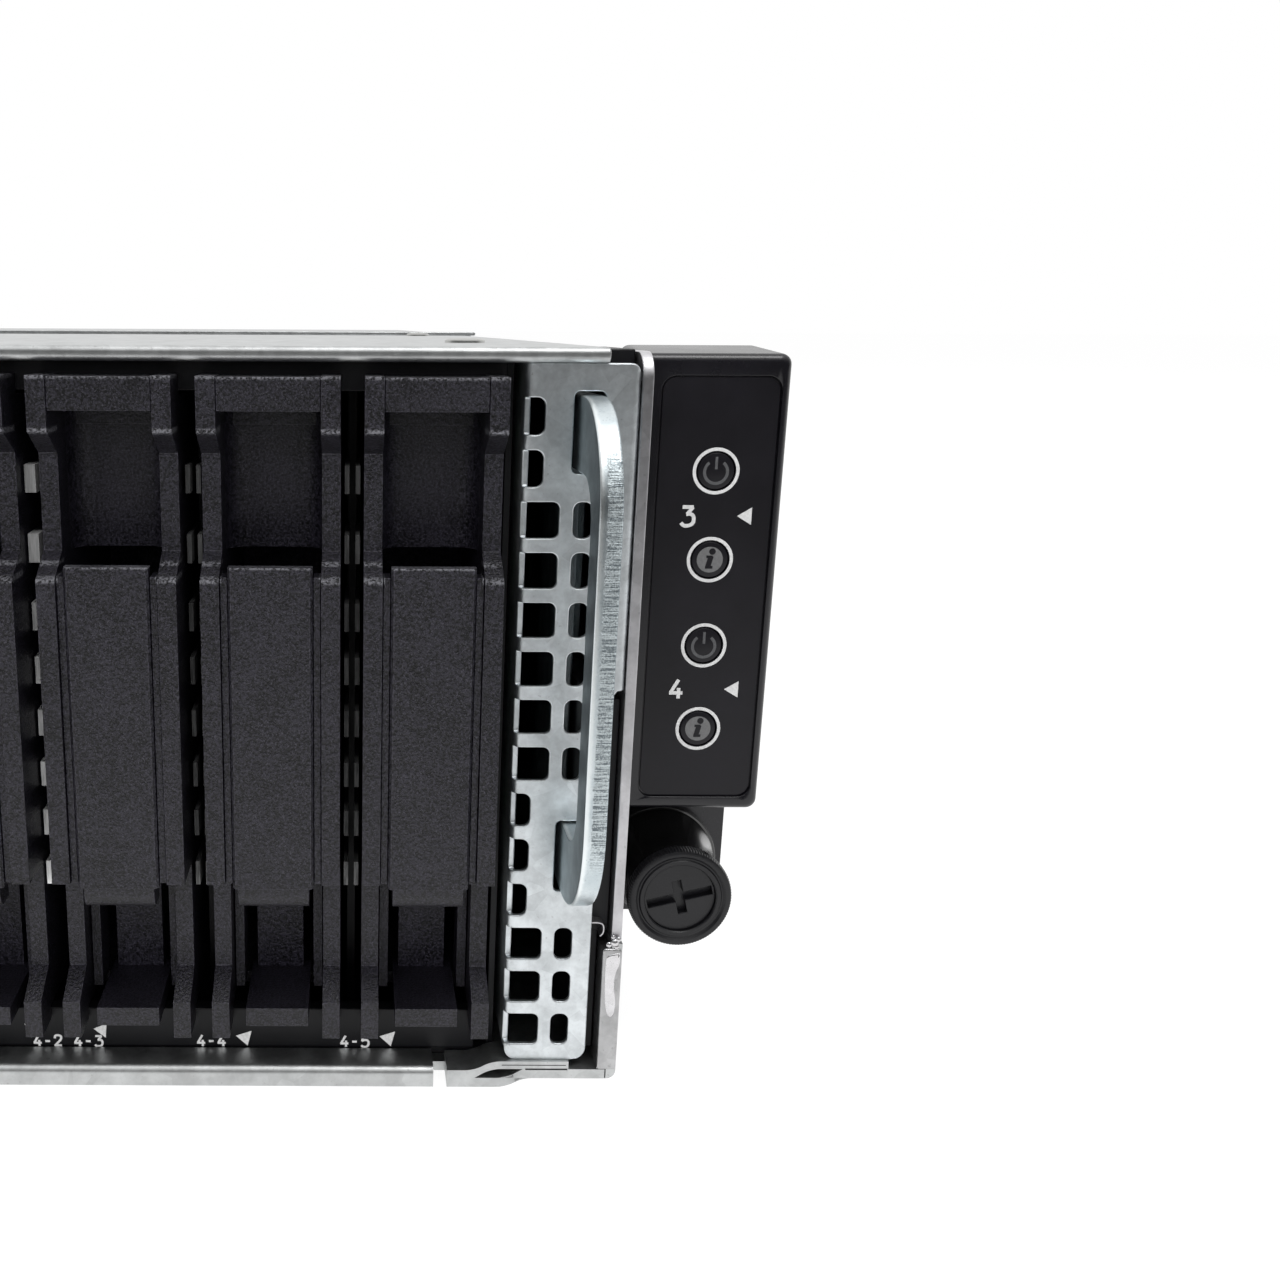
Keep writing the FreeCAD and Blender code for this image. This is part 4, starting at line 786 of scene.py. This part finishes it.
def grille_holes():
    """Rows of holes cut across the left bend, a second row beside them, and two slots for the handle."""
    holes = []
    edge = -(BEND_RUN + 0.25)
    for row in range(GRILLE_ROWS):
        top = 80.85 - ROW_PITCH * row
        low = top - HOLE_HEIGHT
        short = row in SHORT_ROWS
        end, radius = (212.75, 0.9) if short else (214.65, 0.75)
        holes.append(tablet(edge, on_front(end), low, top, (radius, 0.25, 0.25, radius)))
        if not short:
            holes.append(tablet(on_front(216.15), on_front(218.2), low, top, 0.85))
    holes += [tablet(on_front(215.75), on_front(219.05), z0, z1, 0.6) for z0, z1 in ((72.9, 81.5), (25.0, 33.6))]
    return [with_columns(h) for h in holes]


def facing(depth, way=1):
    """Way to set a flat pattern at a depth, its thickness toward the rear, or toward the front where way is -1."""
    return lambda flat, into: at_depth(flat, depth + way * into)


def pierced(outline, holes, place, thick, rim, spare=()):
    """Sheet with holes: one triangulated flat pattern for front and back, and eased rims carried round every edge.

    place(points, depth) sets the flat pattern in the part; spare points help it follow a bend.
    """
    rims = [shifted(outline, rim)] + [shifted(h, -rim) for h in holes]
    points = np.concatenate(rims + ([spare] if len(spare) else []))
    start = np.cumsum([0] + [len(r) for r in rims])
    edges = np.concatenate([np.stack([np.arange(len(r)), (np.arange(len(r)) + 1) % len(r)], 1) + s
                            for r, s in zip(rims, start)])
    flat, _, faces = delaunay_2d_cdt([Vector(p) for p in points], edges.tolist(), [], 0, 1e-5)[:3]
    flat = np.array([tuple(v) for v in flat])
    faces = np.array([f for f in faces if len(f) == 3])
    faces = faces[clear_of(flat[faces].mean(1), rims[0], rims[1:])]
    shapes = [(place(flat, 0.0), faces.tolist()), (place(flat, thick), faces[:, ::-1].tolist())]
    profile = ((1.0, 0.0), (0.36, 0.36), (0.0, 1.0))
    for sign, path in [(1, outline)] + [(-1, h) for h in holes]:
        rings = [place(shifted(path, sign * g * rim), d * rim) for g, d in profile]
        rings += [place(shifted(path, sign * g * rim), thick - d * rim) for g, d in profile[::-1]]
        shapes.append(loft(rings, ends=False))
    return shapes


def grille_shapes():
    """Pierced sheet folded at both sides, with spare points along the bends between the holes."""
    outline, holes = grille_outline(), grille_holes()
    levels = np.arange(5.4, 84.2, 0.55)
    spare = np.stack([np.repeat(COLUMNS, len(levels)), np.tile(levels, len(COLUMNS))], 1)
    keep = clear_of(spare, shifted(outline, 0.4), [shifted(hole, -0.4) for hole in holes])
    return pierced(outline, holes, folded, GRILLE_THICK, GRILLE_RIM, spare[keep])


# Grilles, and pull handles stamped from plate

GRILLE = grille_shapes()
HANDLE_OUTER = tablet(-13.0, 25.5, 25.4, 81.1, (0.5, 11.5, 11.5, 0.5), 14)
HANDLE_INNER = tablet(-8.4, 11.5, 33.4, 73.1, (0.5, 5.0, 5.0, 0.5), 14)
HANDLE_SHAPES = [tube(HANDLE_OUTER, HANDLE_INNER, *HANDLE_X, axis=0),
                 block(HANDLE_X[0], 221.6, 23.1, 25.5, 31.4, 75.1)]
for side, sign in SIDES:
    level_faces(sheet(side + "_grille_sheet", sided(GRILLE, sign), GRILLE_ZINC, STEEL, swaps=(side + "_grille",)))
for side, sign in SIDES:
    put(side + "_handle_plate", sided(HANDLE_SHAPES, sign), HANDLE, STEEL, bevel=0.32, segments=3,
        swaps=(side + "_handle",))

# Ears: control panel with its film, keys and marks, and the bracket

HOUSING = (224.4, 241.3, 31.7, 85.3)
HOUSING_BACK = (224.4, 241.3, 31.7, 86.0)
HOUSING_FACE = 9.2
FILM = (226.9, 240.2, 33.4, 82.8)
FILM_FACE = 9.6
FILM_TOP = FILM_FACE - 0.2
MARK = (FILM_TOP - 0.02, FILM_TOP + 0.08)
EAR_FLANGE = 21.8
EAR_REACH = 241.25
SCREW_X, SCREW_Z = 232.55, 20.6
COLLAR = 7.8
KEY_X = 233.55
KEY_FLOOR = 13.05
KEY_HEIGHTS = (72.3, 62.15, 52.0, 41.85)
NUMBER_HEIGHTS = (67.2, 46.7)


def panel_housing():
    """Rounded outline carried back and up a little from an eased front rim, with a pocket for the film and the keys."""
    pocket = tablet(*grown(FILM, 0.05), 1.6)
    rings = [at_depth(pocket, KEY_FLOOR), at_depth(pocket, HOUSING_FACE + 0.1),
             at_depth(tablet(*grown(FILM, 0.15), 1.7), HOUSING_FACE)]
    for turn in np.linspace(0, math.pi / 2, 7):
        out = math.sin(turn)
        rings.append(at_depth(tablet(*grown(HOUSING, out - 1.0), 0.9 + 0.3 * out), HOUSING_FACE + 1.0 - math.cos(turn)))
    rings.append(at_depth(tablet(*HOUSING_BACK, 1.2), EAR_FLANGE))
    return [loft(rings)]


def keyed_plate(gap, radius, face, depth):
    """Flat plate with a hole for each key: the guide plate in the pocket, and the printed film on it."""
    holes = [disc(KEY_X, z, 2.2, 40) for z in KEY_HEIGHTS]
    return pierced(tablet(*grown(FILM, gap), radius), holes, facing(face), depth, 0.05)


def panel_marks(texts, side):
    """Rings round the keys, node numbers, and pointers toward the bays."""
    marks = [tube(disc(KEY_X, z, 2.65), disc(KEY_X, z, 2.28), *MARK) for z in KEY_HEIGHTS]
    marks += [prism([(236.3, z), (237.95, z + 1.0), (237.95, z - 1.0)], 1, *MARK) for z in NUMBER_HEIGHTS]
    start = 229.95 if side > 0 else -231.6
    digits = [m for text, z in zip(texts, NUMBER_HEIGHTS)
              for m in lettering(text, start, z - 1.1, 2.2, 0.42, *MARK, wide=1.02)]
    return sided(marks, side) + digits


def key_shape(z):
    """Low round key with an eased rim."""
    profile = [(2.1, 12.2), (2.1, FILM_TOP + 0.15), (2.05, FILM_TOP + 0.06), (1.95, FILM_TOP + 0.02)]
    return [turned(profile, KEY_X, z, 48)]


def power_sign(z):
    """Open circle with an upright bar."""
    y = (FILM_TOP, FILM_TOP + 0.06)
    return [stroke(arc(KEY_X, z - 0.1, 1.3, 128, 412, 40), 0.34, *y),
            stroke([(KEY_X, z + 0.2), (KEY_X, z + 1.6)], 0.3, *y)]


def info_disc(z):
    """Plain disc."""
    return [turned([(1.5, FILM_TOP + 0.06), (1.5, FILM_TOP)], KEY_X, z, 48)]


def info_sign(z):
    """Leaning i with its dot and feet."""
    y = (FILM_TOP - 0.02, FILM_TOP + 0.04)
    stem = stroke([(KEY_X + 0.12, z + 0.42), (KEY_X - 0.2, z - 0.9)], 0.6, *y)
    head = stroke([(KEY_X - 0.42, z + 0.34), (KEY_X + 0.3, z + 0.34)], 0.3, y[0] - STROKE_LIFT, y[1])
    foot = stroke([(KEY_X - 0.5, z - 0.88), (KEY_X + 0.36, z - 0.88)], 0.32, y[0] - 2 * STROKE_LIFT, y[1])
    return [stem, head, foot, turned([(0.38, y[1]), (0.38, y[0])], KEY_X + 0.24, z + 0.95, 20)]


for side, sign in SIDES:
    level_faces(put(side + "_panel_shell", sided(panel_housing(), sign), SATIN, "satin_black",
                    swaps=(side + "_panel_housing",), angle=50.0))
    for name, plate, look in (("_panel_film", keyed_plate(-0.12, 1.45, FILM_TOP, 0.2), OVERLAY),
                              ("_panel_guide", keyed_plate(0.08, 1.63, FILM_FACE, 1.4), SATIN)):
        sheet(side + name, sided(plate, sign), look, "satin_black")
    texts, shift = (("3", "4"), 0.0) if sign > 0 else (("1", "2"), -2 * KEY_X)
    put(side + "_panel_marks", panel_marks(texts, sign), PANEL_PRINT, "satin_black")
    for k, z in enumerate(KEY_HEIGHTS):
        node = "%s_button_%d" % (side, k + 1)
        put(node + "_cap", sided(key_shape(z), sign), OVERLAY, "satin_black", node, swaps=(node,), angle=50.0)
        if k % 2 == 0:
            put(node + "_sign", moved(power_sign(z), shift), SIGN, "satin_black", node)
        else:
            put(node + "_sign", moved(info_disc(z), shift), ICON, "satin_black", node)
            put(node + "_letter", moved(info_sign(z), shift), OVERLAY, "satin_black", node)


def ear_finish(mesh):
    """Finish of each face: the leg strip keeps bare zinc, and the flange and the screw's collar are black."""
    centre, normal = values(mesh.polygons, "center"), values(mesh.polygons, "normal")
    x = np.abs(centre[:, 0]) / MM - 0.02 * np.sign(centre[:, 0]) * normal[:, 0]
    place = centre / MM - ORIGIN
    collar = np.hypot(np.abs(place[:, 0]) - SCREW_X, place[:, 2] - SCREW_Z) < COLLAR
    collar &= place[:, 1] < EAR_FLANGE - 0.1
    return np.where(x > WALL_X, np.where(collar, 2, 1), 0).astype(np.int32)


for side, sign in SIDES:
    mesh = merged(side + "_ear_bracket")
    mesh.polygons.foreach_set("material_index", ear_finish(mesh))
    place = values(mesh.vertices, "co")
    place[:, 0] = np.clip(place[:, 0], -EAR_REACH * MM, EAR_REACH * MM)
    mesh.vertices.foreach_set("co", place.ravel())
    finish(side + "_ear_sheet", mesh, [LEG_ZINC, SATIN, GLOSS], STEEL, bevel=0.2, segments=3,
           swaps=(side + "_ear_bracket",))

# Captive screws

SLOT_TILT = math.radians(14)
KNURLS = 110
ROUND = KNURLS * 4
FACE_RADIUS = 4.32
THREAD_START, THREAD_PITCH = 24.4, 0.8


def knurled(radius, depth, y):
    """Circle whose radius swings by a depth, once for each knurl."""
    t = np.linspace(0, 2 * math.pi, ROUND, endpoint=False)
    return at_depth(circle(SCREW_X, SCREW_Z, radius - depth * (0.5 - 0.5 * np.cos(KNURLS * t)), t), y)


def screw_barrel():
    """Smooth barrel turned about the screw's line: a rolled rim, then a radius that grows with the way back ^ 2.4."""
    s = np.linspace(0, 1, 14)
    flare = list(zip(5.6 + 1.4 * s ** 2.4, 11.0 + 8.4 * s))
    return [turned([(4.6, 11.4), (6.25, 9.8), (5.75, 10.3)] + flare, SCREW_X, SCREW_Z, ROUND)]


def screw_rim():
    """Finely knurled rim with a stepped face: outer land, groove, inner land, sunk disc."""
    face = [(5.9, 8.0), (5.5, 8.0), (5.2, 8.22), (5.05, 8.22), (4.9, 8.0), (4.45, 8.0), (FACE_RADIUS, 8.12),
            (FACE_RADIUS, 9.9)]
    rings = [knurled(6.3, 0.09, 9.62), knurled(6.3, 0.09, 8.4), knurled(6.15, 0.06, 8.1)]
    return [loft(rings + [at_depth(disc(SCREW_X, SCREW_Z, r, ROUND), y) for r, y in face])]


def screw_thread():
    """Shank and thread: radius swings along the length, turned about the screw's line."""
    y = np.linspace(THREAD_START, 36.0, 60)
    r = 2.2 + 0.28 * np.cos(2 * math.pi * (y - THREAD_START) / THREAD_PITCH)
    return [turned([(1.9, 19.4), (1.9, 24.2)] + list(zip(r, y)) + [(1.6, 36.2)], SCREW_X, SCREW_Z, 24)]


def driver_slot():
    """Face disc pierced by a slot with a crossing notch, tilted a little."""
    half, notch, wide = 4.0, 2.15, 0.55
    x, z = np.array([(half, -wide), (half, wide), (wide, wide), (wide, notch), (-wide, notch), (-wide, wide),
                     (-half, wide), (-half, -wide), (-wide, -wide), (-wide, -notch), (wide, -notch), (wide, -wide)]).T
    c, s = math.cos(SLOT_TILT), math.sin(SLOT_TILT)
    cross = np.stack([SCREW_X + x * c - z * s, SCREW_Z + x * s + z * c], 1)
    return pierced(disc(SCREW_X, SCREW_Z, FACE_RADIUS, 96), [cross], facing(8.55), 1.6, 0.09)


for side, sign in SIDES:
    node = side + "_thumbscrew"
    for name, shapes, look, slot, angle in (("_screw_barrel", screw_barrel(), GLOSS, "gloss_black", 40.0),
                                            ("_screw_rim", screw_rim(), KNOB_FACE, "gloss_black", 28.0),
                                            ("_screw_thread", screw_thread(), CONTACT, STEEL, 60.0)):
        put(side + name, sided(shapes, sign), look, slot, node, swaps=(node,), angle=angle)
    shift = 0.0 if sign > 0 else -2 * SCREW_X
    sheet(side + "_screw_face", moved(driver_slot(), shift), KNOB_FACE, "gloss_black", node)


# Details at the lower front corners of the shell

def lump(x, y, z, size):
    """Small bead: rings of radius sqrt(1 - u^2) along Y, a little flattened."""
    u = np.linspace(-0.98, 0.98, 9)
    return turned([(size * math.sqrt(1 - k * k), y + 0.7 * size * k) for k in u], x, z, 14)


def edge_cap(outline, swell):
    """Rubbed front of the wall: an outline that swells forward, each ring a little inside the one before."""
    rings = ((0.22, 1.0), (0.1, 0.85), (0.02, 0.45), (0.0, -0.3))
    return loft([at_depth(shifted(outline, gap), -swell * share) for gap, share in rings])


WALL_EDGE = tablet(221.75, 223.98, 2.5, 18.1, (0.5, 0.4, 0.3, 0.3))
RUBBED = softened([(223.7, 17.6), (222.3, 17.4), (222.05, 16.6), (222.15, 12.0), (222.45, 9.9), (222.9, 9.3),
                   (223.4, 9.7), (223.55, 11.2), (223.2, 13.4), (223.3, 15.0), (223.8, 16.2), (223.7, 17.6)])[:-1]
BENT_STRIP = softened([(220.2, 20.9), (221.4, 20.9), (221.9, 20.6), (221.9, 19.6), (221.5, 19.2)])
BEADS = ((223.1, 0.15, 18.75, 0.5), (222.5, 0.25, 18.45, 0.4), (223.5, 0.1, 19.2, 0.34), (222.9, 0.2, 19.45, 0.26),
         (223.3, 0.0, 18.3, 0.3))
CORNER_PIECES = (
    # Black blocks inside the corner, behind the grille's edge and beside the cover's end: painted shade where the
    # inside lies in shadow.
    ("_painted_shade_blocks", RAIL_BLACK, PLASTIC, {"bevel": 0.2},
     [block(219.2, 221.65, 3.0, 22.0, 3.6, 19.2), block(219.2, 222.7, 2.4, 20.5, 19.2, 47.5),
      block(219.5, 222.6, 4.0, 21.0, 83.0, 85.8)]),
    ("_wall_hem", WALL_ZINC, STEEL, {"angle": 50.0},
     [block(221.75, 222.75, 0.05, 16.0, 2.5, 17.6), edge_cap(WALL_EDGE, 0.2)]),
    ("_rubbed_spot", POLISHED, STEEL, {"angle": 50.0}, moved([edge_cap(RUBBED, 0.1)], dy=-0.19)),
    ("_weld_beads", POLISHED, STEEL, {"angle": 60.0}, [lump(*bead) for bead in BEADS]),
    ("_spring_strip", LEG_ZINC, STEEL, {}, [stroke(BENT_STRIP, 0.14, 0.9, 7.0)]),
    # Thin black strips along the joints of stacked sheets: painted shadow in the seams.
    ("_seam_shadow_lines", RAIL_BLACK, PLASTIC, {},
     [block(213.3, 218.3, -0.04, 0.3, 2.3, 2.46), block(210.5, 218.1, -0.03, 0.2, 2.88, 2.95),
      block(222.72, 222.84, -0.04, 0.3, 1.3, 2.45)]),
)
for side, sign in SIDES:
    for name, look, slot, edges, shapes in CORNER_PIECES:
        put(side + name, sided(shapes, sign), look, slot, **edges)


# Sheet-metal shell and what is inside it

def tray_bends(edge):
    """True for the tray's outer lower bend lines and the slanting bends of its stepped edges."""
    a, b = (np.array(v.co) / MM - ORIGIN for v in edge.verts)
    outer = abs(a[1] - b[1]) > 50 and min(abs(a[0]), abs(b[0])) > WALL_X - 0.1 and max(a[2], b[2]) < 1.3
    step = (abs(a[1] - b[1]) > 2 and abs(a[0] - b[0]) < 0.05 and 203 < abs(a[0]) < 223 and max(a[2], b[2]) < 8
            and 0.15 < edge.calc_face_angle(0.0) < 1.1)
    return outer or step


level_faces(eased("chassis_tray_sheet", "chassis_tray", ZINC, STEEL, bevel=0.12, bends=tray_bends, turn=1.1))
for node in ("front_cover", "rear_cover", "sled_cage"):
    eased(node + "_sheet", node, ZINC, STEEL)
eased("bay_backplane", "drive_backplane", [BOARD, RAIL_BLACK], "circuit_board", bevel=0.15,
      choose=lambda low, high: 0 if high[0] - low[0] > 100 else 1)
eased("fan_frames", "fan_cage", [ZINC, RAIL_BLACK], PLASTIC, bevel=0.4,
      choose=lambda low, high: 0 if high[0] - low[0] > 200 else 1)
eased("mid_boards", "midplane", [BOARD, RAIL_BLACK], "circuit_board", bevel=0.2,
      choose=lambda low, high: 0 if high[1] - low[1] < 3 or high[1] - low[1] > 100 else 1)
for k in range(1, 5):
    node = "fan_rotor_%d" % k
    eased(node + "_blades", node, RAIL_BLACK, PLASTIC, node, bevel=0.3)


# Server sleds and power supplies

def sled_finish(low, high):
    """Finish of a sled's shell, told by its size and place."""
    size = high - low
    if size[1] > 500:
        return 0
    if low[1] > REAR - 0.5:
        return 5 if size[0] > 20 else 4
    if size[2] < 2:
        return 1
    if size[0] > 70 and size[1] < 100 and size[2] > 20:
        return 2
    if size[1] > 120:
        return 3
    return 0 if size[1] < 20 or size[0] > 60 else 3


def board_faces(centre, index):
    """Faces of the sled's main board, which is one shell with its tray."""
    local = centre[:, 2] - np.where(centre[:, 2] > 43.5, SLED_LEVELS[1], SLED_LEVELS[0])
    inside = (local > 3.9) & (local < 5.7) & (centre[:, 1] > 241.0) & (centre[:, 1] < 675.0)
    return np.where(inside & (index == 0), 1, index).astype(np.int32)


def sled_edges(edge):
    """True for the edges of what stands in a sled's tray; the thin tray and its board keep their corners."""
    return edge.calc_face_angle(0.0) > 0.6 and edge.link_faces[0].material_index > 1


def vent_holes(x0, x1, z0, z1, pitch, radius):
    """Six-sided holes in staggered rows that fill a rectangle."""
    holes = []
    for row in range(int((z1 - z0 - 2 * radius) / (pitch * ROW_RISE) + 1e-6) + 1):
        z = z0 + radius + row * pitch * ROW_RISE
        first = x0 + radius + (row % 2) * pitch / 2
        holes += [disc(x, z, radius, 6) for x in np.arange(first, x1 - radius + 1e-6, pitch)]
    return holes


def jack_hole(x):
    """Square jack with the step for its catch."""
    return np.array([(x - 5.6, 3.4), (x + 5.6, 3.4), (x + 5.6, 10.2), (x + 2.6, 10.2), (x + 2.6, 12.0), (x - 2.6, 12.0),
                     (x - 2.6, 10.2), (x - 5.6, 10.2)])


def dome(x, z, radius, y, height):
    """Low screw head turned about a line along Y."""
    return turned([(radius, y - 0.05), (radius, y + height * 0.5), (radius * 0.88, y + height * 0.85),
                   (radius * 0.5, y + height)], x, z, 24)


ROW_RISE = 0.866
SLED_LEVELS = (2.8, 44.2)
SLED_LEFTS = (-222.2, 47.8)
JACKS = (80.9, 93.5)
VENT = pierced(tablet(7.0, 113.0, 20.0, 37.8, 1.0), vent_holes(9.0, 111.0, 21.6, 36.2, 4.3, 1.85),
               facing(REAR + 0.6, -1), 0.55, 0.1)
CARD_FACE = pierced(tablet(6.2, 71.0, 2.2, 17.8, 0.6),
                    [tablet(x0, x1, 5.2, 14.6, 0.3, 3) for x0, x1 in ((11.2, 25.8), (30.2, 44.8))]
                    + vent_holes(49.0, 69.0, 4.6, 15.6, 3.0, 1.15), facing(REAR - 1.2, -1), 0.8, 0.08)
PORT_FACE = pierced(tablet(74.4, 100.0, 2.2, 13.8, 0.4), [jack_hole(x) for x in JACKS], facing(REAR - 0.6, -1), 0.8,
                    0.08)
CAGES = [tube(tablet(*box, 0.5, 3), tablet(*grown(box, -0.5), 0.3, 3), REAR - 8, REAR + 0.6)
         for box in [(x, x + 15.6, 4.7, 15.1) for x in (10.7, 29.7)]]
# Black sheets just behind the vent, the card slots and the jacks: painted shade, so the holes show dark like the sled's
# shaded inside.
SHADE_BACKS = [block(8.4, 111.6, REAR - 0.02, REAR + 0.08, 21.2, 36.6),
              block(6.4, 70.8, REAR - 11.8, REAR - 11.0, 2.4, 17.6),
              block(74.6, 99.8, REAR - 14.8, REAR - 14.0, 2.4, 13.6)]
CONTACTS = [block(c - 4.2 + 1.1 * i, c - 3.7 + 1.1 * i, REAR - 14.0, REAR - 4.0, 9.1, 9.5) for c in JACKS
            for i in range(8)]
HEADS = [dome(x, z, 2.5, REAR, 1.3) for x, z in ((3.6, 34.0), (170.8, 34.6), (170.8, 5.0), (116.5, 6.0), (116.5, 33.0))]
for k, (x, z) in enumerate([(x, z) for x in SLED_LEFTS for z in SLED_LEVELS]):
    node = "sled_%d" % (k + 1)
    tray = eased(node + "_assembly", node, [ZINC, BOARD, ALUMINIUM, RAIL_BLACK, TOUCH, RAIL_BLACK], "sled_steel", node,
                 bevel=0.0, choose=sled_finish, refine=board_faces, bends=sled_edges, turn=0.2).data
    tray.polygons.foreach_set("use_smooth", [face.material_index > 1 for face in tray.polygons])
    for name, shapes, look in (("_vent", VENT, ZINC), ("_card_face", CARD_FACE, CONTACT),
                               ("_port_face", PORT_FACE, CONTACT)):
        sheet(node + name, moved(shapes, x, dz=z), look, "sled_steel", node)
    for name, shapes, look, slot, edges in (("_card_cages", CAGES, CONTACT, "sled_steel", {"bevel": 0.1}),
                                            ("_shade_backs", SHADE_BACKS, RAIL_BLACK, PLASTIC, {}),
                                            ("_contacts", CONTACTS, GOLD, "sled_steel", {}),
                                            ("_screw_heads", HEADS, CONTACT, "sled_steel", {"angle": 40.0})):
        put(node + name, moved(shapes, x, dz=z), look, slot, node, **edges)


def supply_finish(low, high):
    """Finish of a supply's shell: its case, black fittings, or the release tab."""
    size = high - low
    if size[1] > 100:
        return 0
    return 1 if size[2] > 20 or low[1] < 760 else 2


GUARD_X = -22.0
for k, z in enumerate((22.5, 63.9)):
    node = "power_supply_%d" % (k + 1)
    eased(node + "_assembly", node, [ZINC, RAIL_BLACK, TOUCH], "supply_case", node, choose=supply_finish)
    rings = [tube(disc(GUARD_X, z, r + 0.45), disc(GUARD_X, z, r - 0.45), REAR - 2.6, REAR - 1.6)
             for r in (15.6, 12.4, 9.2)]
    put(node + "_guard_rings", rings, CONTACT, "supply_case", node, bevel=0.2)
    pins = [block(x - 0.9, x + 0.9, REAR - 7.0, REAR - 1.5, z + lift - 2.2, z + lift + 2.2)
            for x, lift in ((13.0, 0.0), (20.0, 1.2), (27.0, 0.0))]
    put(node + "_inlet_pins", pins, CONTACT, "supply_case", node, bevel=0.3)

# Fasteners of the shell: domes laid on the side walls and on the covers

RIVETS = [dome(y, z, 2.4, WALL_X, 0.7) for y in (90.0, 240.0, 390.0, 540.0, 690.0) for z in (18.0, 68.0)]
LIDS = [dome(x, y, 2.6, 86.0, 0.6) for x in (-207.0, -100.0, 100.0, 207.0) for y in (36.0, 168.0)]
for side, sign in SIDES:
    put(side + "_wall_rivets", sided([(p[:, [1, 0, 2]], f) for p, f in RIVETS], sign), ZINC, STEEL, angle=40.0)
put("cover_screws", [(p[:, [0, 2, 1]], f) for p, f in LIDS], CONTACT, STEEL, angle=40.0)

# Stage: white floor and surround, soft lamps, and the photograph's camera

surround = bpy.data.worlds.new("surround")
bpy.context.scene.world = surround
sky = Paint("surround", surround)
toward = sky.node("TexCoord", out="Generated")
ahead, height = (sky.node("SeparateXYZ", {0: toward}, axis) for axis in (1, 2))
bright = sky.step(ahead, -0.35, 0.35).most(sky.step(height, 0.35, 0.75)) * 0.93 + 0.07
level = sky.mix(sky.ray("Glossy").most(sky.ray("Transmission")), 0.5, sky.mix(bright, 0.0, 1.0))
level = sky.mix(sky.ray("Camera"), level, 1.0)
sky.node("OutputWorld", {"Surface": sky.node("Background", {"Color": level, "Strength": 1.0})})

table = Paint("white_table")
glossy = table.ray("Glossy").most(table.ray("Transmission"))
seen = table.ray("Camera").most(glossy)
# Painted shade on the floor: in reflections it darkens from 75 to 410 mm in front of the tray, standing for a dark room
# and a shadow cast from in front.
reflected_shade = table.step(-1 * table.axis(1), 75.0, 410.0) * glossy
lit = table.node("BsdfDiffuse", {"Color": table.mix(table.noise(30.0, 2.0), 0.86, 0.9)})
glow = table.node("Emission", {"Color": table.mix(reflected_shade, 1.0, 0.04), "Strength": 1.15})
cover = table.node("MixShader", {0: seen * (reflected_shade * 0.22 + 0.78), 1: lit, 2: glow})
table.node("OutputMaterial", {"Surface": cover})
FLOOR_REACH = 30.0
FLOOR_GAP = 0.0002
mesh = bpy.data.meshes.new("floor")
mesh.from_pydata([(x, y, 0) for x, y in corners(-FLOOR_REACH, FLOOR_REACH, -FLOOR_REACH, FLOOR_REACH)], [],
                 [(0, 1, 2, 3)])
mesh.materials.append(table.owner)
floor = placed("floor", mesh)
floor.location.z = CAD_BOX[0].z - FLOOR_GAP


def lamp(name, place, aim, size, watts, mirrored=False):
    """Square soft lamp pointed at a spot; glossy surfaces show it only where it is mirrored."""
    light = bpy.data.lights.new(name, "AREA")
    light.shape = "SQUARE"
    light.size = size
    light.energy = watts
    holder = placed(name, light)
    holder.visible_glossy = mirrored
    holder.location = place
    holder.rotation_euler = (Vector(aim) - Vector(place)).to_track_quat("-Z", "Y").to_euler()


lamp("soft_key", (-0.3, -1.6, 0.55), (0.15, -0.38, 0.04), 0.75, 11.0)
lamp("soft_fill", (0.55, -1.5, 0.4), (0.2, -0.38, 0.04), 0.6, 7.0)
lamp("ceiling", (0.6, -0.8, 1.5), (0.22, -0.38, 0.05), 0.6, 8.0, mirrored=True)
lamp("soft_rear", (-0.5, 1.6, 1.3), (0.0, 0.3, 0.04), 1.2, 9.0)

# Camera: focal length and principal point in the photograph's pixels, eye in metres, angles in degrees
PHOTO = 1280.0
FOCAL = 1282.5
MIDDLE = 355.0
SENSOR = 36.0
EYE = (0.19285, -0.5179, 0.08794)
LOOK_DOWN, ROLL = 13.72, 0.26
lens = bpy.data.cameras.new("camera")
lens.sensor_width = SENSOR
lens.lens = SENSOR * FOCAL / PHOTO
lens.shift_x = (PHOTO / 2 - MIDDLE) / PHOTO
lens.clip_start = 0.005
lens.clip_end = 100.0
camera = placed("camera", lens)
camera.matrix_world = (Matrix.Translation(EYE) @ Matrix.Rotation(math.radians(90 - LOOK_DOWN), 4, "X")
                       @ Matrix.Rotation(math.radians(ROLL), 4, "Z"))
bpy.context.scene.camera = camera
bpy.context.scene.view_settings.view_transform = "Standard"
